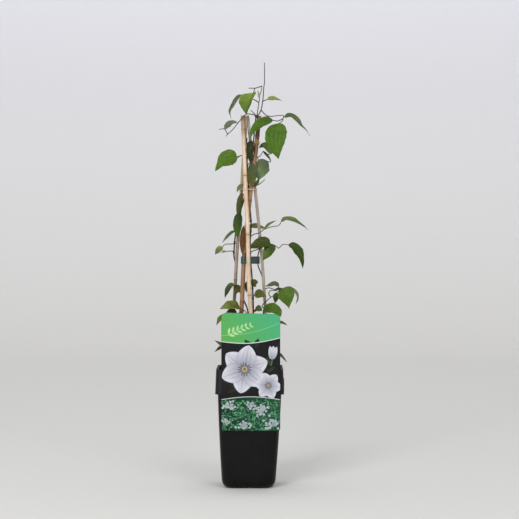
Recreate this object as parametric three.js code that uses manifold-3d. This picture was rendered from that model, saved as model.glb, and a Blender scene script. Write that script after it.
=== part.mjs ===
// A young clematis on a wigwam of four bamboo canes, in a tall square pot with soil and a card label.
// Millimetres, +Z up, the front of the label faces -Y. The origin is the middle of the pot's underside.

import * as THREE from "three";
import Module from "manifold-3d";

const wasm = await Module();
wasm.setup();

// Pot: outer half width and plan corner radius at each height, from the rounded foot to the rolled lip.
// The walls bulge a little and the whole pot leans a little to +X, as a filled thin pot does.
const potWall = 1.2;
const potFloor = 4.2;
const potHeight = 208;
const potFoot = [
  { z: 0, half: 34, corner: 10 },
  { z: 1.6, half: 39.6, corner: 13 },
  { z: 4.6, half: 43.2, corner: 15 },
  { z: 9, half: 45.9, corner: 17 },
  { z: 14, half: 47.2, corner: 18 },
];
const potWalls = [
  { z: 60, half: 50.2, corner: 17.2 },
  { z: 110, half: 53, corner: 16.4 },
  { z: 155, half: 55, corner: 15.7 },
  { z: 197.5, half: 56.4, corner: 15 },
];
const potHollow = [
  { z: potFloor, half: 40.6, corner: 13.5 },
  { z: 8, half: 44, corner: 15.8 },
  { z: 14, half: 47.2 - potWall, corner: 18 - potWall },
  ...potWalls.map(({ z, half, corner }) => ({ z, half: half - potWall, corner: corner - potWall })),
];
const potLeanBottom = -1.4;
const potLeanTop = 0.9;
const lipHalf = 56.9;
const lipCorner = 14;
const lipThickness = 2;
const lipDepth = 9;
const cornerSteps = 5;
const drainChannelWidth = 21;
const drainChannelHeight = 2.3;
const drainPadHalf = 15;
const drainHoleRadius = 4;
const drainHoleOffset = 22;

// Soil
const soilTop = 192;
const soilMound = 3;
const soilMoundInset = 9;
const gap = 0.3;

// Canes: radius, route from the foot in the soil to the top, and heights of the nodes
const caneSides = 8;
const caneStep = 60;
const caneNodeSwell = 0.55;
const caneNodeHalfLength = 2.4;
const canes = {
  cane_front: {
    radius: 3.6,
    colour: 0xe1c8a5,
    route: [[9, -40, 59.4], [6.2, -31, 216.4], [2.1, -24, 312.4], [-0.6, -20, 354.4], [-3.4, -13.5, 459.4],
      [-6.6, -9, 521.4], [-11.9, 0.5, 653.4]],
    nodes: [120, 234, 336, 443, 547, 629],
  },
  cane_front_left: {
    radius: 3.9,
    colour: 0xa57350,
    route: [[-33.6, -26, 59.4], [-21.4, -18, 215.4], [-14, -11, 311.4], [-9.3, -5, 406.4], [-2.8, -2, 474.4],
      [2.3, 0, 522.4], [11.5, 4, 593.4], [17, 7, 653.4]],
    nodes: [98, 207, 324, 430, 503, 619],
  },
  cane_back_left: {
    radius: 3,
    colour: 0xa39a8a,
    route: [[-40, 34, 59.4], [-35.8, 29, 212.4], [-27.1, 22, 326.4], [-22.7, 15, 406.4], [-14.3, 9, 522.4],
      [-5.7, 5, 653.4]],
    nodes: [134, 252, 363, 472, 576],
  },
  cane_right: {
    radius: 2.75,
    colour: 0xa69c90,
    route: [[42, 8, 59.4], [36.7, 10, 213.4], [28.2, 11, 311.4], [22.5, 11.5, 394.4], [17.3, 12, 451.4],
      [10.1, 12, 522.4], [2.9, 12, 593.4], [-3.1, 12, 654.4]],
    nodes: [112, 228, 333, 439, 541, 624],
  },
};

// Ties: twine ring round the four canes, raffia round a cane and a shoot, tape round a cane and two shoots
const twineRadius = 0.8;
const twineHeight = 522.9;
const raffiaRadius = 0.7;
const raffiaHeight = 606.4;
const tapeThickness = 0.8;
const tapeBottom = 391.6;
const tapeTop = 404.2;

// Label: a tall front card and a belt round the pot's rim, cut from one sheet
const cardThickness = 0.7;
const cardCentreX = 2.6;
const cardHalfWidth = 51;
const cardBottom = 102.2;
const cardTop = 305.8;
const cardSlant = 1.4;
const cardCornerTop = 9;
const cardCornerBottom = 5;
const cardDepth = [[102, -55.8], [140, -58.5], [165.4, -60.2], [208.5, -58.4], [260, -57.4], [308, -56.6]];
const beltBottom = 165.4;
const beltTop = 208.5;
const beltCentreX = 0.6;
const beltHalfBottom = 59.9;
const beltHalfTop = 58.2;
const beltCorner = 8;
const beltTab = { bottom: 167, top: 189.4, depth: 34, thickness: 1.1 };

// Shoots: radius at the foot and tip, and route from below the soil's surface up through the canes
const shootSides = 6;
const shootStep = 17;
const petioleSides = 4;
const petioleRadius = 0.85;
const petioleStep = 11;
const mainShoot = [[4, -12, 168.4], [5, -12, 198.4], [6.6, -11, 252.4], [6.8, -9, 310.4], [4.5, -8, 366.4],
  [2, -6.5, 397.4], [1.3, -6, 433.4], [2.8, -0.5, 459.4], [1, 6.3, 492.4], [-2, 6, 522.4], [-0.5, 3.5, 557.4],
  [6.6, 3.2, 602.4], [7.6, 3, 614.4], [11.2, 1.5, 649.4], [12.4, 1, 654.4]];
const leftShoot = [[-2, 2, 168.4], [-2, 2, 198.4], [-1, 2, 262.4], [-3.4, 1, 309.4], [-9, 4, 324.4], [-16, 14, 339.4],
  [-23, 24.8, 352.4], [-25, 24.5, 368.4], [-24.2, 22.6, 387.4], [-27.8, 18.6, 405.4], [-27, 9, 423.4],
  [-25.6, 8, 438.4], [-20, 5, 472.4], [-10.5, 0, 502.4], [-4.5, -1, 534.4], [-3.8, -1.2, 550.4],
  [-4.1, -1, 568.4], [-4.5, -0.8, 592.4], [-4.8, 1, 614.4]];
const rightShoot = [[16, 12, 168.4], [17, 11, 198.4], [21, 10, 262.4], [24.5, 12, 298.4], [26.5, 15.6, 322.4],
  [25.5, 17.2, 347.4], [22.2, 16, 369.4], [15.2, 11.2, 388.4], [15, 11, 398], [15.2, 11.2, 407.4],
  [19, 16.6, 422.4],
  [18.5, 17, 438.4], [17.6, 17, 446.4]];

// Leaf blades
const bladeThickness = 0.8;
const bladeSteps = 6;
const bladeWaveCount = 2.5;
const bladeWaveShare = 0.07;
const bladeBaseShape = 0.6;
const bladeTipShape = 1.1;
const bladeEndHalfWidth = 0.55;

// Each petiole starts in its shoot, or on an earlier petiole, and runs through its points. Each leaf has
// the points of its midrib from base to tip, its full width, the way its upper face looks, and its fold.
const mainFoliage = {
  petioles: [
    [[12, 1, 652.4], [15.9, 0, 655.4], [20.4, -1, 663.4], [23.2, -1, 678.4], [24.4, -1, 688.4], [25.1, -1, 701.4],
      [26.5, -1, 713.4], [26.4, 0, 747.4]],
    [[12, 1, 652.4], [13.3, 0, 655.4], [15.4, -2, 667.4], [17, -2, 678.4], [18.6, -2, 690.4], [21.1, -2, 698.4],
      [22.1, -2, 706.4]],
    [[22.1, -2, 705.8], [16.5, -3, 703.6], [9.7, -4, 701.8], [-1.6, -4, 701.8]],
    [[9.7, -4, 701.8], [8.6, -4.6, 698.4], [6.5, -5.2, 692.7]],
    [[16.6, -2, 676.4], [9, -0.5, 681.4], [2, 1, 683.9], [-10, 2, 686]],
    [[10.5, 1, 655.4], [1.9, -1, 663.4]],
    [[12.2, 1, 653.9], [1.9, -2.5, 656], [-6, -5.4, 655.4], [-19.3, -5.6, 641.4], [-29, -5.4, 629.1],
      [-38.4, -5, 620.4], [-41.2, -5, 616.7]],
    [[-38.4, -5, 620.4], [-45, -6, 629.8], [-53.8, -6, 628.4]],
    [[23.2, -1, 678.7], [28, -1.5, 680.9], [33, -2, 682.6]],
    [[20.4, -1, 663.4], [29.4, -4, 654], [36.8, -6, 651.7], [50, -8, 652.9], [59.7, -8, 653],
      [62.4, -8, 649.8]],
    [[60.5, -8, 652.4], [59.4, -8.5, 647.4], [57.6, -9, 642.8], [52.6, -10.7, 639.2]],
    [[59, -8.5, 647.4], [50.3, -9, 643.4], [40, -10.3, 644.6]],
    [[2.4, 3.2, 574.4], [4.4, 7.6, 576.4], [9, 10, 579.4], [17.7, 11, 582.4], [24.5, 13, 591.9]],
    [[24.5, 13, 591.9], [31, 14, 585.4], [36.5, 14, 578.4], [37.2, 14, 572.4], [31.4, 13, 574]],
    [[31, 14, 585.4], [36, 14, 586.8], [40, 14, 587.8]],
    [[3.8, 3.2, 586.4], [4.6, -1.5, 605.4], [3, -3.8, 608.9]],
    [[-2, 6, 526.4], [4, 6.6, 527.9], [10, 4.8, 529.9], [14, 5, 530.9], [20, 7, 534.4], [27.3, 8, 541.2]],
    [[1.6, -5, 440.4], [9, -7, 443.9], [17.2, -8, 445.9], [27.4, -8.5, 453], [40, -9, 456.9],
      [51.9, -10, 459.4], [57, -10, 467.9]],
    [[1.6, -6.3, 411.4], [7, -7.5, 414.4], [13.3, -8.5, 416.2], [24, -9, 421.4], [34, -9, 426.9],
      [44.8, -9, 423.8], [51.2, -9, 419], [58.2, -9, 425.4], [64, -9, 425.4], [69.5, -9.2, 425.2]],
    [[4.9, -8.1, 354.4], [0, -5.5, 362.4], [-6, -2.4, 358.4]],
    [[5, -8.2, 348.4], [5.2, -10.5, 352.9]],
    [[6.1, -8.8, 331], [9.8, -11.4, 339.4]],
    [[6.8, -9.4, 298.4], [7.4, -12.5, 306.4], [9.6, -15.6, 310.8]],
    [[6.7, -11, 270.4], [10, 4, 278.4], [12, 20.6, 282.4]],
    [[14.6, 10.7, 581.4], [15.2, 16, 576.4], [14.6, 22.4, 568.4]],
    [[2.4, 1.6, 468.4], [-1.5, 10, 463], [-1.6, 18.6, 455.9]],
    [[6.6, -11, 238.4], [14, -18, 248.4], [21, -29, 252.4]],
    [[2.2, -3.2, 449.4], [-1, -8, 454.6], [-4, -8.5, 457], [-7.5, -9.4, 458.4], [-10.4, -10.2, 457.2]],
  ],
  leaves: [
    { rib: [[6.8, -5, 693.4], [1.2, -7, 682.4], [-2.8, -9, 669.4], [-5.5, -10.5, 654.4]], width: 31,
      face: [-0.6, -0.8, 0.2], fold: 34 },
    { rib: [[-9, 2, 685.9], [-17.5, 2, 687.9], [-24.8, 1, 681.4], [-31, 0, 670.4], [-35.6, 0, 660.9],
      [-32.5, 0, 648.4]], width: 7, face: [0.4, -0.75, 0.5], fold: 35 },
    { rib: [[-43.6, -6, 629.4], [-37, -6.4, 636.4], [-29.5, -6.8, 640.8], [-20.4, -7.4, 641]], width: 13,
      face: [-0.3, -0.8, 0.5], fold: 18 },
    { rib: [[31.6, -2, 682.4], [42, -3, 683.2], [58, -3.6, 679.8]], width: 11,
      face: [0, -0.75, 0.65], fold: 18, tip: 1.6 },
    { rib: [[61.8, -8, 649.8], [73, -8, 650.9], [84, -8.5, 642.6], [91, -9, 634.4], [98.5, -9, 628.6],
      [106.9, -9, 617.1]], width: 15, face: [0.3, -0.6, 0.75], fold: 28, tip: 2 },
    { rib: [[52.4, -10.7, 639.4], [47.6, -14, 624], [46.4, -18, 600], [51, -21, 575.4]], width: 38, face: [-0.12, -1, 0.2], fold: 10 },
    { rib: [[41, -10, 644.9], [29, -13, 642.4], [16, -14, 635.2], [6.3, -15, 625.4], [2.1, -15, 613.4]],
      width: 20, face: [-0.3, -0.85, 0.45], fold: 14 },
    { rib: [[39.6, 14, 587.4], [34, 15, 598.4], [25, 15.5, 602.4], [16.5, 15.5, 597.4]], width: 15,
      face: [0.1, -1, 0.3], fold: 14 },
    { rib: [[24.5, 13, 591.9], [31, 13.8, 585.4], [36, 13.8, 578.4], [37.4, 13.8, 572.4]], width: 5,
      face: [-0.5, -0.85, -0.2], fold: 25 },
    { rib: [[31.6, 13, 574.4], [25, 11.5, 566], [19.6, 11.5, 553], [15.4, 12, 539.4]], width: 29,
      face: [-0.2, 0.92, 0.35], fold: 10 },
    { rib: [[10, 4.8, 529.9], [13.2, 4.4, 535.4], [17.8, 4.4, 543.4]], width: 7,
      face: [0.5, -0.8, 0.3], fold: 20 },
    { rib: [[3, -3.5, 609.4], [1.5, -5, 598.4], [0.5, -5.2, 585.4], [1, -4.4, 569.9]], width: 14,
      face: [0, -1, 0.2], fold: 22 },
    { rib: [[26.5, -8.4, 452.4], [36, -8.8, 460.4], [47.4, -10, 467.9]], width: 9,
      face: [-0.35, -0.5, 0.8], fold: 28 },
    { rib: [[56.3, -10, 465.8], [63, -11, 469.9], [75, -12, 468.9], [87, -12, 462.9], [96, -12, 457.4],
      [103.4, -12, 451]], width: 14, face: [0.2, -0.55, 0.8], fold: 17, tip: 1.5 },
    { rib: [[37, -9, 426.4], [25, -10.6, 428.9], [11, -11.2, 424.4], [-2, -10.4, 418.4]], width: 23,
      face: [-0.15, -0.85, 0.5], fold: 10 },
    { rib: [[42, -9, 425.8], [37, -12, 418.4], [31, -13, 408.4], [23.5, -13, 397.4]], width: 21,
      face: [-0.25, -0.9, 0.4], fold: 14 },
    { rib: [[69, -9.2, 425.2], [78, -10, 420.6], [86, -11, 410.4], [91.8, -12, 397.4], [94, -12, 383.4]],
      width: 20, face: [0.5, -0.75, 0.45], fold: 20 },
    { rib: [[-5.5, -2.6, 358.9], [-5.2, -4.4, 350.4], [-5.8, -5.2, 340.4]], width: 8,
      face: [0.2, -1, 0.2], fold: 18 },
    { rib: [[5, -10.2, 352.6], [9, -12, 358], [15.6, -13, 359.4]], width: 15,
      face: [0, -0.95, 0.4], fold: 14 },
    { rib: [[9, -11, 338], [18, -14, 338], [29, -15, 334.8]], width: 17,
      face: [0.1, -0.9, 0.4], fold: 14 },
    { rib: [[9.6, -14.6, 309.6], [15.2, -18.6, 311.4], [22.6, -21.6, 308.8]], width: 17,
      face: [0.1, -0.7, 0.7], fold: 16 },
    { rib: [[12, 20, 282.4], [13, 32, 278.4], [12, 44, 264.4]], width: 22,
      face: [0, 0.5, 0.85], fold: 14 },
    { rib: [[14, 22, 568.4], [20, 31, 563.4], [24, 40, 548.4]], width: 17,
      face: [0.1, 0.6, 0.8], fold: 14 },
    { rib: [[-2, 18.4, 455.3], [8, 22, 457.9], [19, 22.4, 456.4], [30, 21, 452.9]], width: 16,
      face: [0, -0.55, 0.83], fold: 14 },
    { rib: [[20, -28, 252.4], [27, -38, 248.4], [33, -47, 236.4]], width: 19,
      face: [0.3, -0.5, 0.8], fold: 14 },
    { rib: [[-10.4, -10.1, 457.8], [-12.4, -10.6, 434], [-13.2, -11, 410]], width: 9,
      face: [-0.2, -1, 0], fold: 20, tip: 0.7 },
  ],
};

const leftFoliage = {
  petioles: [
    [[-4.1, -1, 564.4], [-1, -3, 568.9], [4, -4.7, 568.6]],
    [[-4.3, -0.9, 578.4], [-8.5, 2.3, 581.4], [-14.5, 0, 583], [-22.5, -5, 577.4]],
    [[-5.6, -0.8, 526.4], [-9.5, -0.8, 530.8], [-13, -4, 531.9]],
    [[-8.6, -0.3, 509.4], [-11, -3, 514.4], [-13.4, -6.4, 516]],
    [[-23.5, 6.5, 447.4], [-24.4, 1, 450.8], [-25, -2.4, 449]],
    [[-25.7, 8, 428.4], [-25, 2, 427.2], [-33, -2, 426.4], [-42.8, -4, 425.6], [-48.4, -4.2, 420.4]],
    [[-27.8, 15.4, 411.4], [-31, 6, 413.9], [-40.7, -1, 413.4], [-44, -1.4, 413]],
    [[-21.4, 22.4, 349.4], [-19, 12, 352.4], [-19.5, 2, 353.4], [-22, -2, 353.8], [-26.6, -4, 353.4]],
    [[-9, -19, 309.4], [-15, -20, 305.8], [-22.6, -21, 304.4]],
    [[-3, 1.1, 300.4], [-6, -8, 305.4], [-9, -19, 309.4], [-18, -22.6, 314.8]],
    [[-1.9, 1.6, 286.4], [-14, 2, 292.4], [-28, -10, 300.4], [-41, -22.6, 301.4]],
    [[-1.5, 2, 230.4], [-15, 0, 238.4], [-28, -8, 238.8], [-39, -14.4, 241.2]],
    [[-15, 0, 238.4], [-28, 1, 240.4], [-41, -2.4, 242.6]],
    [[-1, 2, 272.4], [-10, 8, 284.4], [-22.6, 14, 291.4]],
    [[-14.5, 0, 583], [-18, 6, 582.4], [-25, 13, 581], [-33.6, 19.4, 579.4]],
    [[-1.1, 2, 250.4], [-8, 14, 260.4], [-18.4, 31, 264.4]],
    [[-1.7, 2, 214.4], [-6, -10, 224.4], [-8, -23, 228.8]],
  ],
  leaves: [
    { rib: [[3.6, -4.6, 569], [4.6, -6.2, 558.4], [4.6, -6.8, 545.4], [3, -6.4, 527]], width: 17,
      face: [0, -1, 0.1], fold: 12, tip: 0.8 },
    { rib: [[-21.5, -4.6, 577.7], [-33, -8, 578.2], [-47, -9, 571.4], [-60.5, -9.4, 555]], width: 31,
      face: [-0.05, -0.92, 0.4], fold: 14 },
    { rib: [[-12.6, -3.8, 531.8], [-18, -6.4, 525.8], [-22.4, -7, 517.4]], width: 8,
      face: [-0.4, -0.8, 0.4], fold: 18 },
    { rib: [[-13, -6, 516.4], [-16.4, -8, 499.4], [-18.2, -9, 480.4], [-20, -9, 462.4]], width: 12,
      face: [-0.45, -0.9, 0.1], fold: 22 },
    { rib: [[-18, -8.8, 482], [-19.8, -12, 468], [-20.8, -13, 453], [-21.4, -13, 438.4]], width: 17,
      face: [-0.3, -0.95, 0.1], fold: 14, tip: 0.8 },
    { rib: [[-24.6, -2, 449.4], [-31, -5, 446.4], [-40, -7, 437.9], [-48.3, -8, 428.4]], width: 8,
      face: [0.1, -0.45, 0.88], fold: 18 },
    { rib: [[-47.6, -4, 421], [-54, -5, 415.8], [-61, -5, 407.9]], width: 13,
      face: [-0.3, -0.8, 0.5], fold: 14 },
    { rib: [[-42.5, -1.2, 413.2], [-45.6, -1.6, 412.8], [-49.4, -2, 411.2]], width: 5,
      face: [0, -0.7, 0.7], fold: 14 },
    { rib: [[-26, -4, 353.4], [-32, -6, 352.9], [-38.5, -7, 343.4], [-43.5, -8, 331.4]], width: 13,
      face: [-0.3, -0.6, 0.7], fold: 20 },
    { rib: [[-19.6, 1.4, 353.4], [-21.5, -2.5, 347.4], [-24.5, -5, 337.4]], width: 14,
      face: [-0.2, -0.95, 0.2], fold: 16 },
    { rib: [[-17, -22, 314.4], [-28, -28, 318.4], [-40, -33, 316.4], [-51.5, -36, 312.4]], width: 24,
      face: [0, -0.62, 0.78], fold: 14 },
    { rib: [[-22, -21, 304.4], [-32, -25, 306.4], [-43, -29, 301.4]], width: 14,
      face: [-0.1, -0.8, 0.6], fold: 14 },
    { rib: [[-40, -22, 301.4], [-49, -28, 296.4], [-57.6, -32, 284]], width: 14,
      face: [-0.4, -0.5, 0.75], fold: 16 },
    { rib: [[-38, -14, 240.8], [-49, -18, 248.4], [-61, -20, 256.9]], width: 11,
      face: [0.2, -0.6, 0.75], fold: 18 },
    { rib: [[-40, -2, 242.4], [-50, -6, 242.4], [-61.7, -8, 235.7]], width: 12,
      face: [-0.2, -0.4, 0.9], fold: 18 },
    { rib: [[-22, 14, 291.4], [-34, 13, 293.4], [-46, 11, 284.4]], width: 16,
      face: [-0.2, 0.4, 0.87], fold: 14 },
    { rib: [[-33, 19, 579.4], [-43, 26, 577.4], [-51, 32, 568.4]], width: 17,
      face: [-0.3, 0.4, 0.87], fold: 14 },
    { rib: [[-18, 30, 264.4], [-22, 42, 260.4], [-26, 54, 246.4]], width: 22,
      face: [-0.1, 0.4, 0.9], fold: 14 },
    { rib: [[-8, -22, 228.4], [-8, -34, 230.4], [-10, -46, 221.4]], width: 14,
      face: [0, -0.3, 0.95], fold: 14 },
  ],
};

const rightFoliage = {
  petioles: [
    [[25.4, 14.4, 312.4], [22.4, 11, 315.4], [24, 5, 319.9], [29, 2.4, 324.4], [37.5, -1, 332.1], [43, -4, 335.4],
      [50.5, -7, 342.4], [60.2, -8.8, 348.8]],
    [[37.5, -1, 332.1], [34, -2, 339.4], [38, -4, 344.4], [48, -5.2, 344.4], [52, -6, 352]],
    [[50.5, -7, 342.4], [62, -4, 347.4], [75.6, -9, 348.8]],
    [[43, -4, 335.4], [46.8, -5.8, 340]],
    [[24, 11.6, 292.4], [23, 2, 298.4], [24, -8, 302.4], [24, -20, 307.4], [24.6, -26.4, 310.6]],
    [[21.4, 10.2, 268.4], [30, 2, 279.4], [40, -8, 283.4], [47, -12.4, 285.6]],
    [[18.8, 10.4, 224.4], [28, 2, 232.4], [43, -6.4, 234.4]],
    [[25.2, 17.4, 345.4], [34, 20, 348.4], [44.6, 23.2, 345.4]],
    [[18.8, 16.6, 421.4], [20.6, 18.6, 425.4], [22.6, 20.4, 426.4]],
    [[19.4, 10.4, 240.4], [19, 20, 248.4], [26.4, 35, 252.4]],
  ],
  leaves: [
    { rib: [[52, -6, 351.8], [45, -7, 356], [37, -7, 354.2], [28, -7, 351.4]], width: 9,
      face: [0.1, -0.85, 0.5], fold: 24 },
    { rib: [[60, -8.9, 349.2], [63.4, -11, 340], [66.8, -13, 327], [70, -14, 312]], width: 31,
      face: [0.1, -1, 0.15], fold: 10, tip: 1.6 },
    { rib: [[75, -8.6, 348.8], [81, -9, 341], [84.4, -9, 331.4], [81.6, -9, 320.4]], width: 9,
      face: [0.85, -0.5, 0.1], fold: 22 },
    { rib: [[46.8, -5.6, 340.2], [47, -7.6, 332.4], [45, -9, 321.4]], width: 11,
      face: [-0.3, -0.95, 0.1], fold: 18 },
    { rib: [[24, -26, 310.4], [35, -31, 313.4], [47, -35, 310], [55, -37, 299.4]], width: 22,
      face: [0.1, -0.8, 0.6], fold: 12, tip: 0.8 },
    { rib: [[46, -12, 285.4], [56, -14, 287.4], [66.7, -16, 283.4]], width: 9,
      face: [0, -0.5, 0.87], fold: 18 },
    { rib: [[42, -6, 234.4], [54, -8, 229.4], [66, -8, 217.9]], width: 11,
      face: [0.3, -0.4, 0.87], fold: 18 },
    { rib: [[44, 23, 345.4], [56, 29, 343.4], [63, 33, 333.4]], width: 16,
      face: [0.2, 0.4, 0.9], fold: 14 },
    { rib: [[22, 20, 426.4], [30, 26, 425.4], [37, 31, 415.4]], width: 14,
      face: [0.3, 0.4, 0.87], fold: 14 },
    { rib: [[26, 34, 252.4], [30, 46, 246.4], [33, 56, 232.4]], width: 22,
      face: [0.2, 0.4, 0.9], fold: 14 },
  ],
};

// The pale young bud in the fork of the main shoot's tip
const bud = { bottom: [17.6, -2.2, 684.4], top: [14.6, -4, 699.4], radius: 1.9 };

// Points of a rounded square in plan, counter-clockwise from above
function roundedSquare(half, corner, centreX = 0) {
  const points = [];
  for (let quarter = 0; quarter < 4; quarter += 1) {
    const signX = quarter === 0 || quarter === 3 ? 1 : -1;
    const signY = quarter < 2 ? 1 : -1;
    for (let step = 0; step <= cornerSteps; step += 1) {
      const angle = (quarter + step / cornerSteps) * Math.PI / 2;
      const x = signX * (half - corner) + corner * Math.cos(angle);
      const y = signY * (half - corner) + corner * Math.sin(angle);
      points.push([centreX + x, y]);
    }
  }
  return points;
}

// Closed solid through a stack of rings that all have the same number of points, capped at both ends
function solidFromRings(rings) {
  const count = rings[0].length;
  const vertices = rings.flat(2);
  const triangles = [];
  for (let ring = 0; ring < rings.length - 1; ring += 1) {
    for (let i = 0; i < count; i += 1) {
      const a = ring * count + i;
      const b = ring * count + (i + 1) % count;
      triangles.push(a, b, b + count);
      triangles.push(a, b + count, a + count);
    }
  }
  const last = (rings.length - 1) * count;
  for (let i = 1; i < count - 1; i += 1) {
    triangles.push(0, i + 1, i);
    triangles.push(last, last + i, last + i + 1);
  }
  return toSolid(vertices, triangles);
}

function toSolid(vertices, triangles) {
  const mesh = new wasm.Mesh({
    numProp: 3,
    vertProperties: new Float32Array(vertices),
    triVerts: new Uint32Array(triangles),
  });
  return new wasm.Manifold(mesh);
}

function solidFromLevels(levels, centreAt = () => 0) {
  const rings = levels.map((level) => {
    const outline = roundedSquare(level.half, level.corner, centreAt(level.z));
    return outline.map(([x, y]) => [x, y, level.z]);
  });
  return solidFromRings(rings);
}

function potCentre(z) {
  return potLeanBottom + (potLeanTop - potLeanBottom) * z / potHeight;
}

// Box between two corners, as a stack of two rings
function box(low, high) {
  const corners = [[low[0], low[1]], [high[0], low[1]], [high[0], high[1]], [low[0], high[1]]];
  const ring = (z) => corners.map(([x, y]) => [x, y, z]);
  return solidFromRings([ring(low[2]), ring(high[2])]);
}

function curveThrough(points) {
  const vectors = points.map((point) => new THREE.Vector3(...point));
  return new THREE.CatmullRomCurve3(vectors, false, "centripetal");
}

// Closed round bar along a curve: one ring at each share of its length, without twist
function bar(curve, shares, radiusAt, sides) {
  const rings = [];
  const side = new THREE.Vector3();
  const up = new THREE.Vector3();
  let reference = new THREE.Vector3(1, 0, 0);
  const start = curve.getTangentAt(0);
  if (Math.abs(start.x) > 0.8) {
    reference = new THREE.Vector3(0, 1, 0);
  }
  for (const share of shares) {
    const centre = curve.getPointAt(share);
    const tangent = curve.getTangentAt(share);
    reference = reference.clone().addScaledVector(tangent, -reference.dot(tangent)).normalize();
    side.copy(reference);
    up.crossVectors(tangent, side);
    const radius = radiusAt(share);
    const ring = [];
    for (let i = 0; i < sides; i += 1) {
      const angle = (i + 0.5) / sides * 2 * Math.PI;
      const point = centre.clone();
      point.addScaledVector(side, radius * Math.cos(angle));
      point.addScaledVector(up, radius * Math.sin(angle));
      ring.push(point.toArray());
    }
    rings.push(ring);
  }
  return solidFromRings(rings);
}

function evenShares(length, step) {
  const count = Math.max(2, Math.round(length / step));
  return Array.from({ length: count + 1 }, (_, i) => i / count);
}

// Closed loop of a square or round section along points in one level plane
function levelLoop(points, section) {
  const count = points.length;
  const rings = points.map((point, i) => {
    const before = points[(i + count - 1) % count];
    const after = points[(i + 1) % count];
    const tangent = new THREE.Vector2(after[0] - before[0], after[1] - before[1]).normalize();
    const [x, y, z] = point;
    return section.map(([out, rise]) => [x + tangent.y * out, y - tangent.x * out, z + rise]);
  });
  const size = section.length;
  const triangles = [];
  for (let ring = 0; ring < count; ring += 1) {
    for (let i = 0; i < size; i += 1) {
      const a = ring * size + i;
      const b = ring * size + (i + 1) % size;
      const c = (ring + 1) % count * size + i;
      const d = (ring + 1) % count * size + (i + 1) % size;
      triangles.push(a, c, d);
      triangles.push(a, d, b);
    }
  }
  return toSolid(rings.flat(2), triangles);
}

function roundSection(radius, sides) {
  return Array.from({ length: sides }, (_, i) => {
    const angle = (i + 0.5) / sides * 2 * Math.PI;
    return [radius * Math.cos(angle), radius * Math.sin(angle)];
  });
}

// Convex outline round circles in plan, counter-clockwise
function outlineRound(circles, offset, steps = 20) {
  const cloud = [];
  for (const circle of circles) {
    for (let i = 0; i < steps; i += 1) {
      const angle = i / steps * 2 * Math.PI;
      const reach = circle.radius + offset;
      cloud.push([circle.x + reach * Math.cos(angle), circle.y + reach * Math.sin(angle)]);
    }
  }
  cloud.sort((a, b) => a[0] - b[0] || a[1] - b[1]);
  const turn = (o, a, b) => (a[0] - o[0]) * (b[1] - o[1]) - (a[1] - o[1]) * (b[0] - o[0]);
  const half = (points) => {
    const chain = [];
    for (const point of points) {
      while (chain.length > 1 && turn(chain.at(-2), chain.at(-1), point) <= 0) {
        chain.pop();
      }
      chain.push(point);
    }
    return chain.slice(0, -1);
  };
  return [...half(cloud), ...half([...cloud].reverse())];
}

// Thin sheet through rows of points, the same triangles on both faces
function sheet(rows, normals, thickness) {
  const columns = rows[0].length;
  const vertices = [];
  const faces = [1, -1];
  for (const side of faces) {
    rows.forEach((row, i) => {
      const offset = normals[i].clone().multiplyScalar(side * thickness / 2);
      row.forEach((point) => vertices.push(...point.clone().add(offset).toArray()));
    });
  }
  const back = rows.length * columns;
  const triangles = [];
  const wall = (a, b) => triangles.push(a, a + back, b + back, a, b + back, b);
  for (let i = 0; i < rows.length - 1; i += 1) {
    for (let j = 0; j < columns - 1; j += 1) {
      const a = i * columns + j;
      const b = a + columns;
      const leftHalf = j < (columns - 1) / 2;
      const pairs = leftHalf ? [[a, a + 1, b], [a + 1, b + 1, b]] : [[a, a + 1, b + 1], [a, b + 1, b]];
      for (const [p, q, r] of pairs) {
        triangles.push(p, q, r);
        triangles.push(back + p, back + r, back + q);
      }
    }
    wall(i * columns + columns - 1, (i + 1) * columns + columns - 1);
    wall((i + 1) * columns, i * columns);
  }
  for (let j = 0; j < columns - 1; j += 1) {
    wall(j, j + 1);
    wall(back - columns + j + 1, back - columns + j);
  }
  return toSolid(vertices, triangles);
}

// Share of the full half width along an ovate blade with a drawn-out tip
function bladeOutline(share, tip) {
  const widest = bladeBaseShape / (bladeBaseShape + tip);
  const top = widest ** bladeBaseShape * (1 - widest) ** tip;
  return share ** bladeBaseShape * (1 - share) ** tip / top;
}

// One blade: two halves folded up along the midrib, with softly waved edges
function blade({ rib, width, face, fold, tip = bladeTipShape }) {
  const curve = curveThrough(rib);
  const rows = [];
  const normals = [];
  const lift = Math.tan(THREE.MathUtils.degToRad(fold));
  const facing = new THREE.Vector3(...face);
  for (let i = 0; i <= bladeSteps; i += 1) {
    const share = (i / bladeSteps) ** 1.15;
    const centre = curve.getPointAt(share);
    const tangent = curve.getTangentAt(share);
    const normal = facing.clone().addScaledVector(tangent, -facing.dot(tangent)).normalize();
    const across = new THREE.Vector3().crossVectors(normal, tangent);
    const half = Math.max(bladeEndHalfWidth, width / 2 * bladeOutline(share, tip));
    const row = [-1, 0, 1].map((side) => {
      const wave = bladeWaveShare * half * Math.sin(2 * Math.PI * bladeWaveCount * share + side);
      const point = centre.clone().addScaledVector(across, side * half);
      return point.addScaledVector(normal, Math.abs(side) * (half * lift + wave));
    });
    rows.push(row);
    normals.push(normal);
  }
  return sheet(rows.map((row) => [...row].reverse()), normals, bladeThickness);
}

function join(solids) {
  return solids.reduce((sum, solid) => sum.add(solid));
}

// Point of a rising curve at a given height
function pointAtHeight(curve, height) {
  let low = 0;
  let high = 1;
  for (let i = 0; i < 40; i += 1) {
    const middle = (low + high) / 2;
    if (curve.getPointAt(middle).z < height) {
      low = middle;
    } else {
      high = middle;
    }
  }
  return curve.getPointAt(low);
}

function circleAt(route, height, radius) {
  const point = pointAtHeight(curveThrough(route), height);
  return { x: point.x, y: point.y, radius };
}

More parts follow.
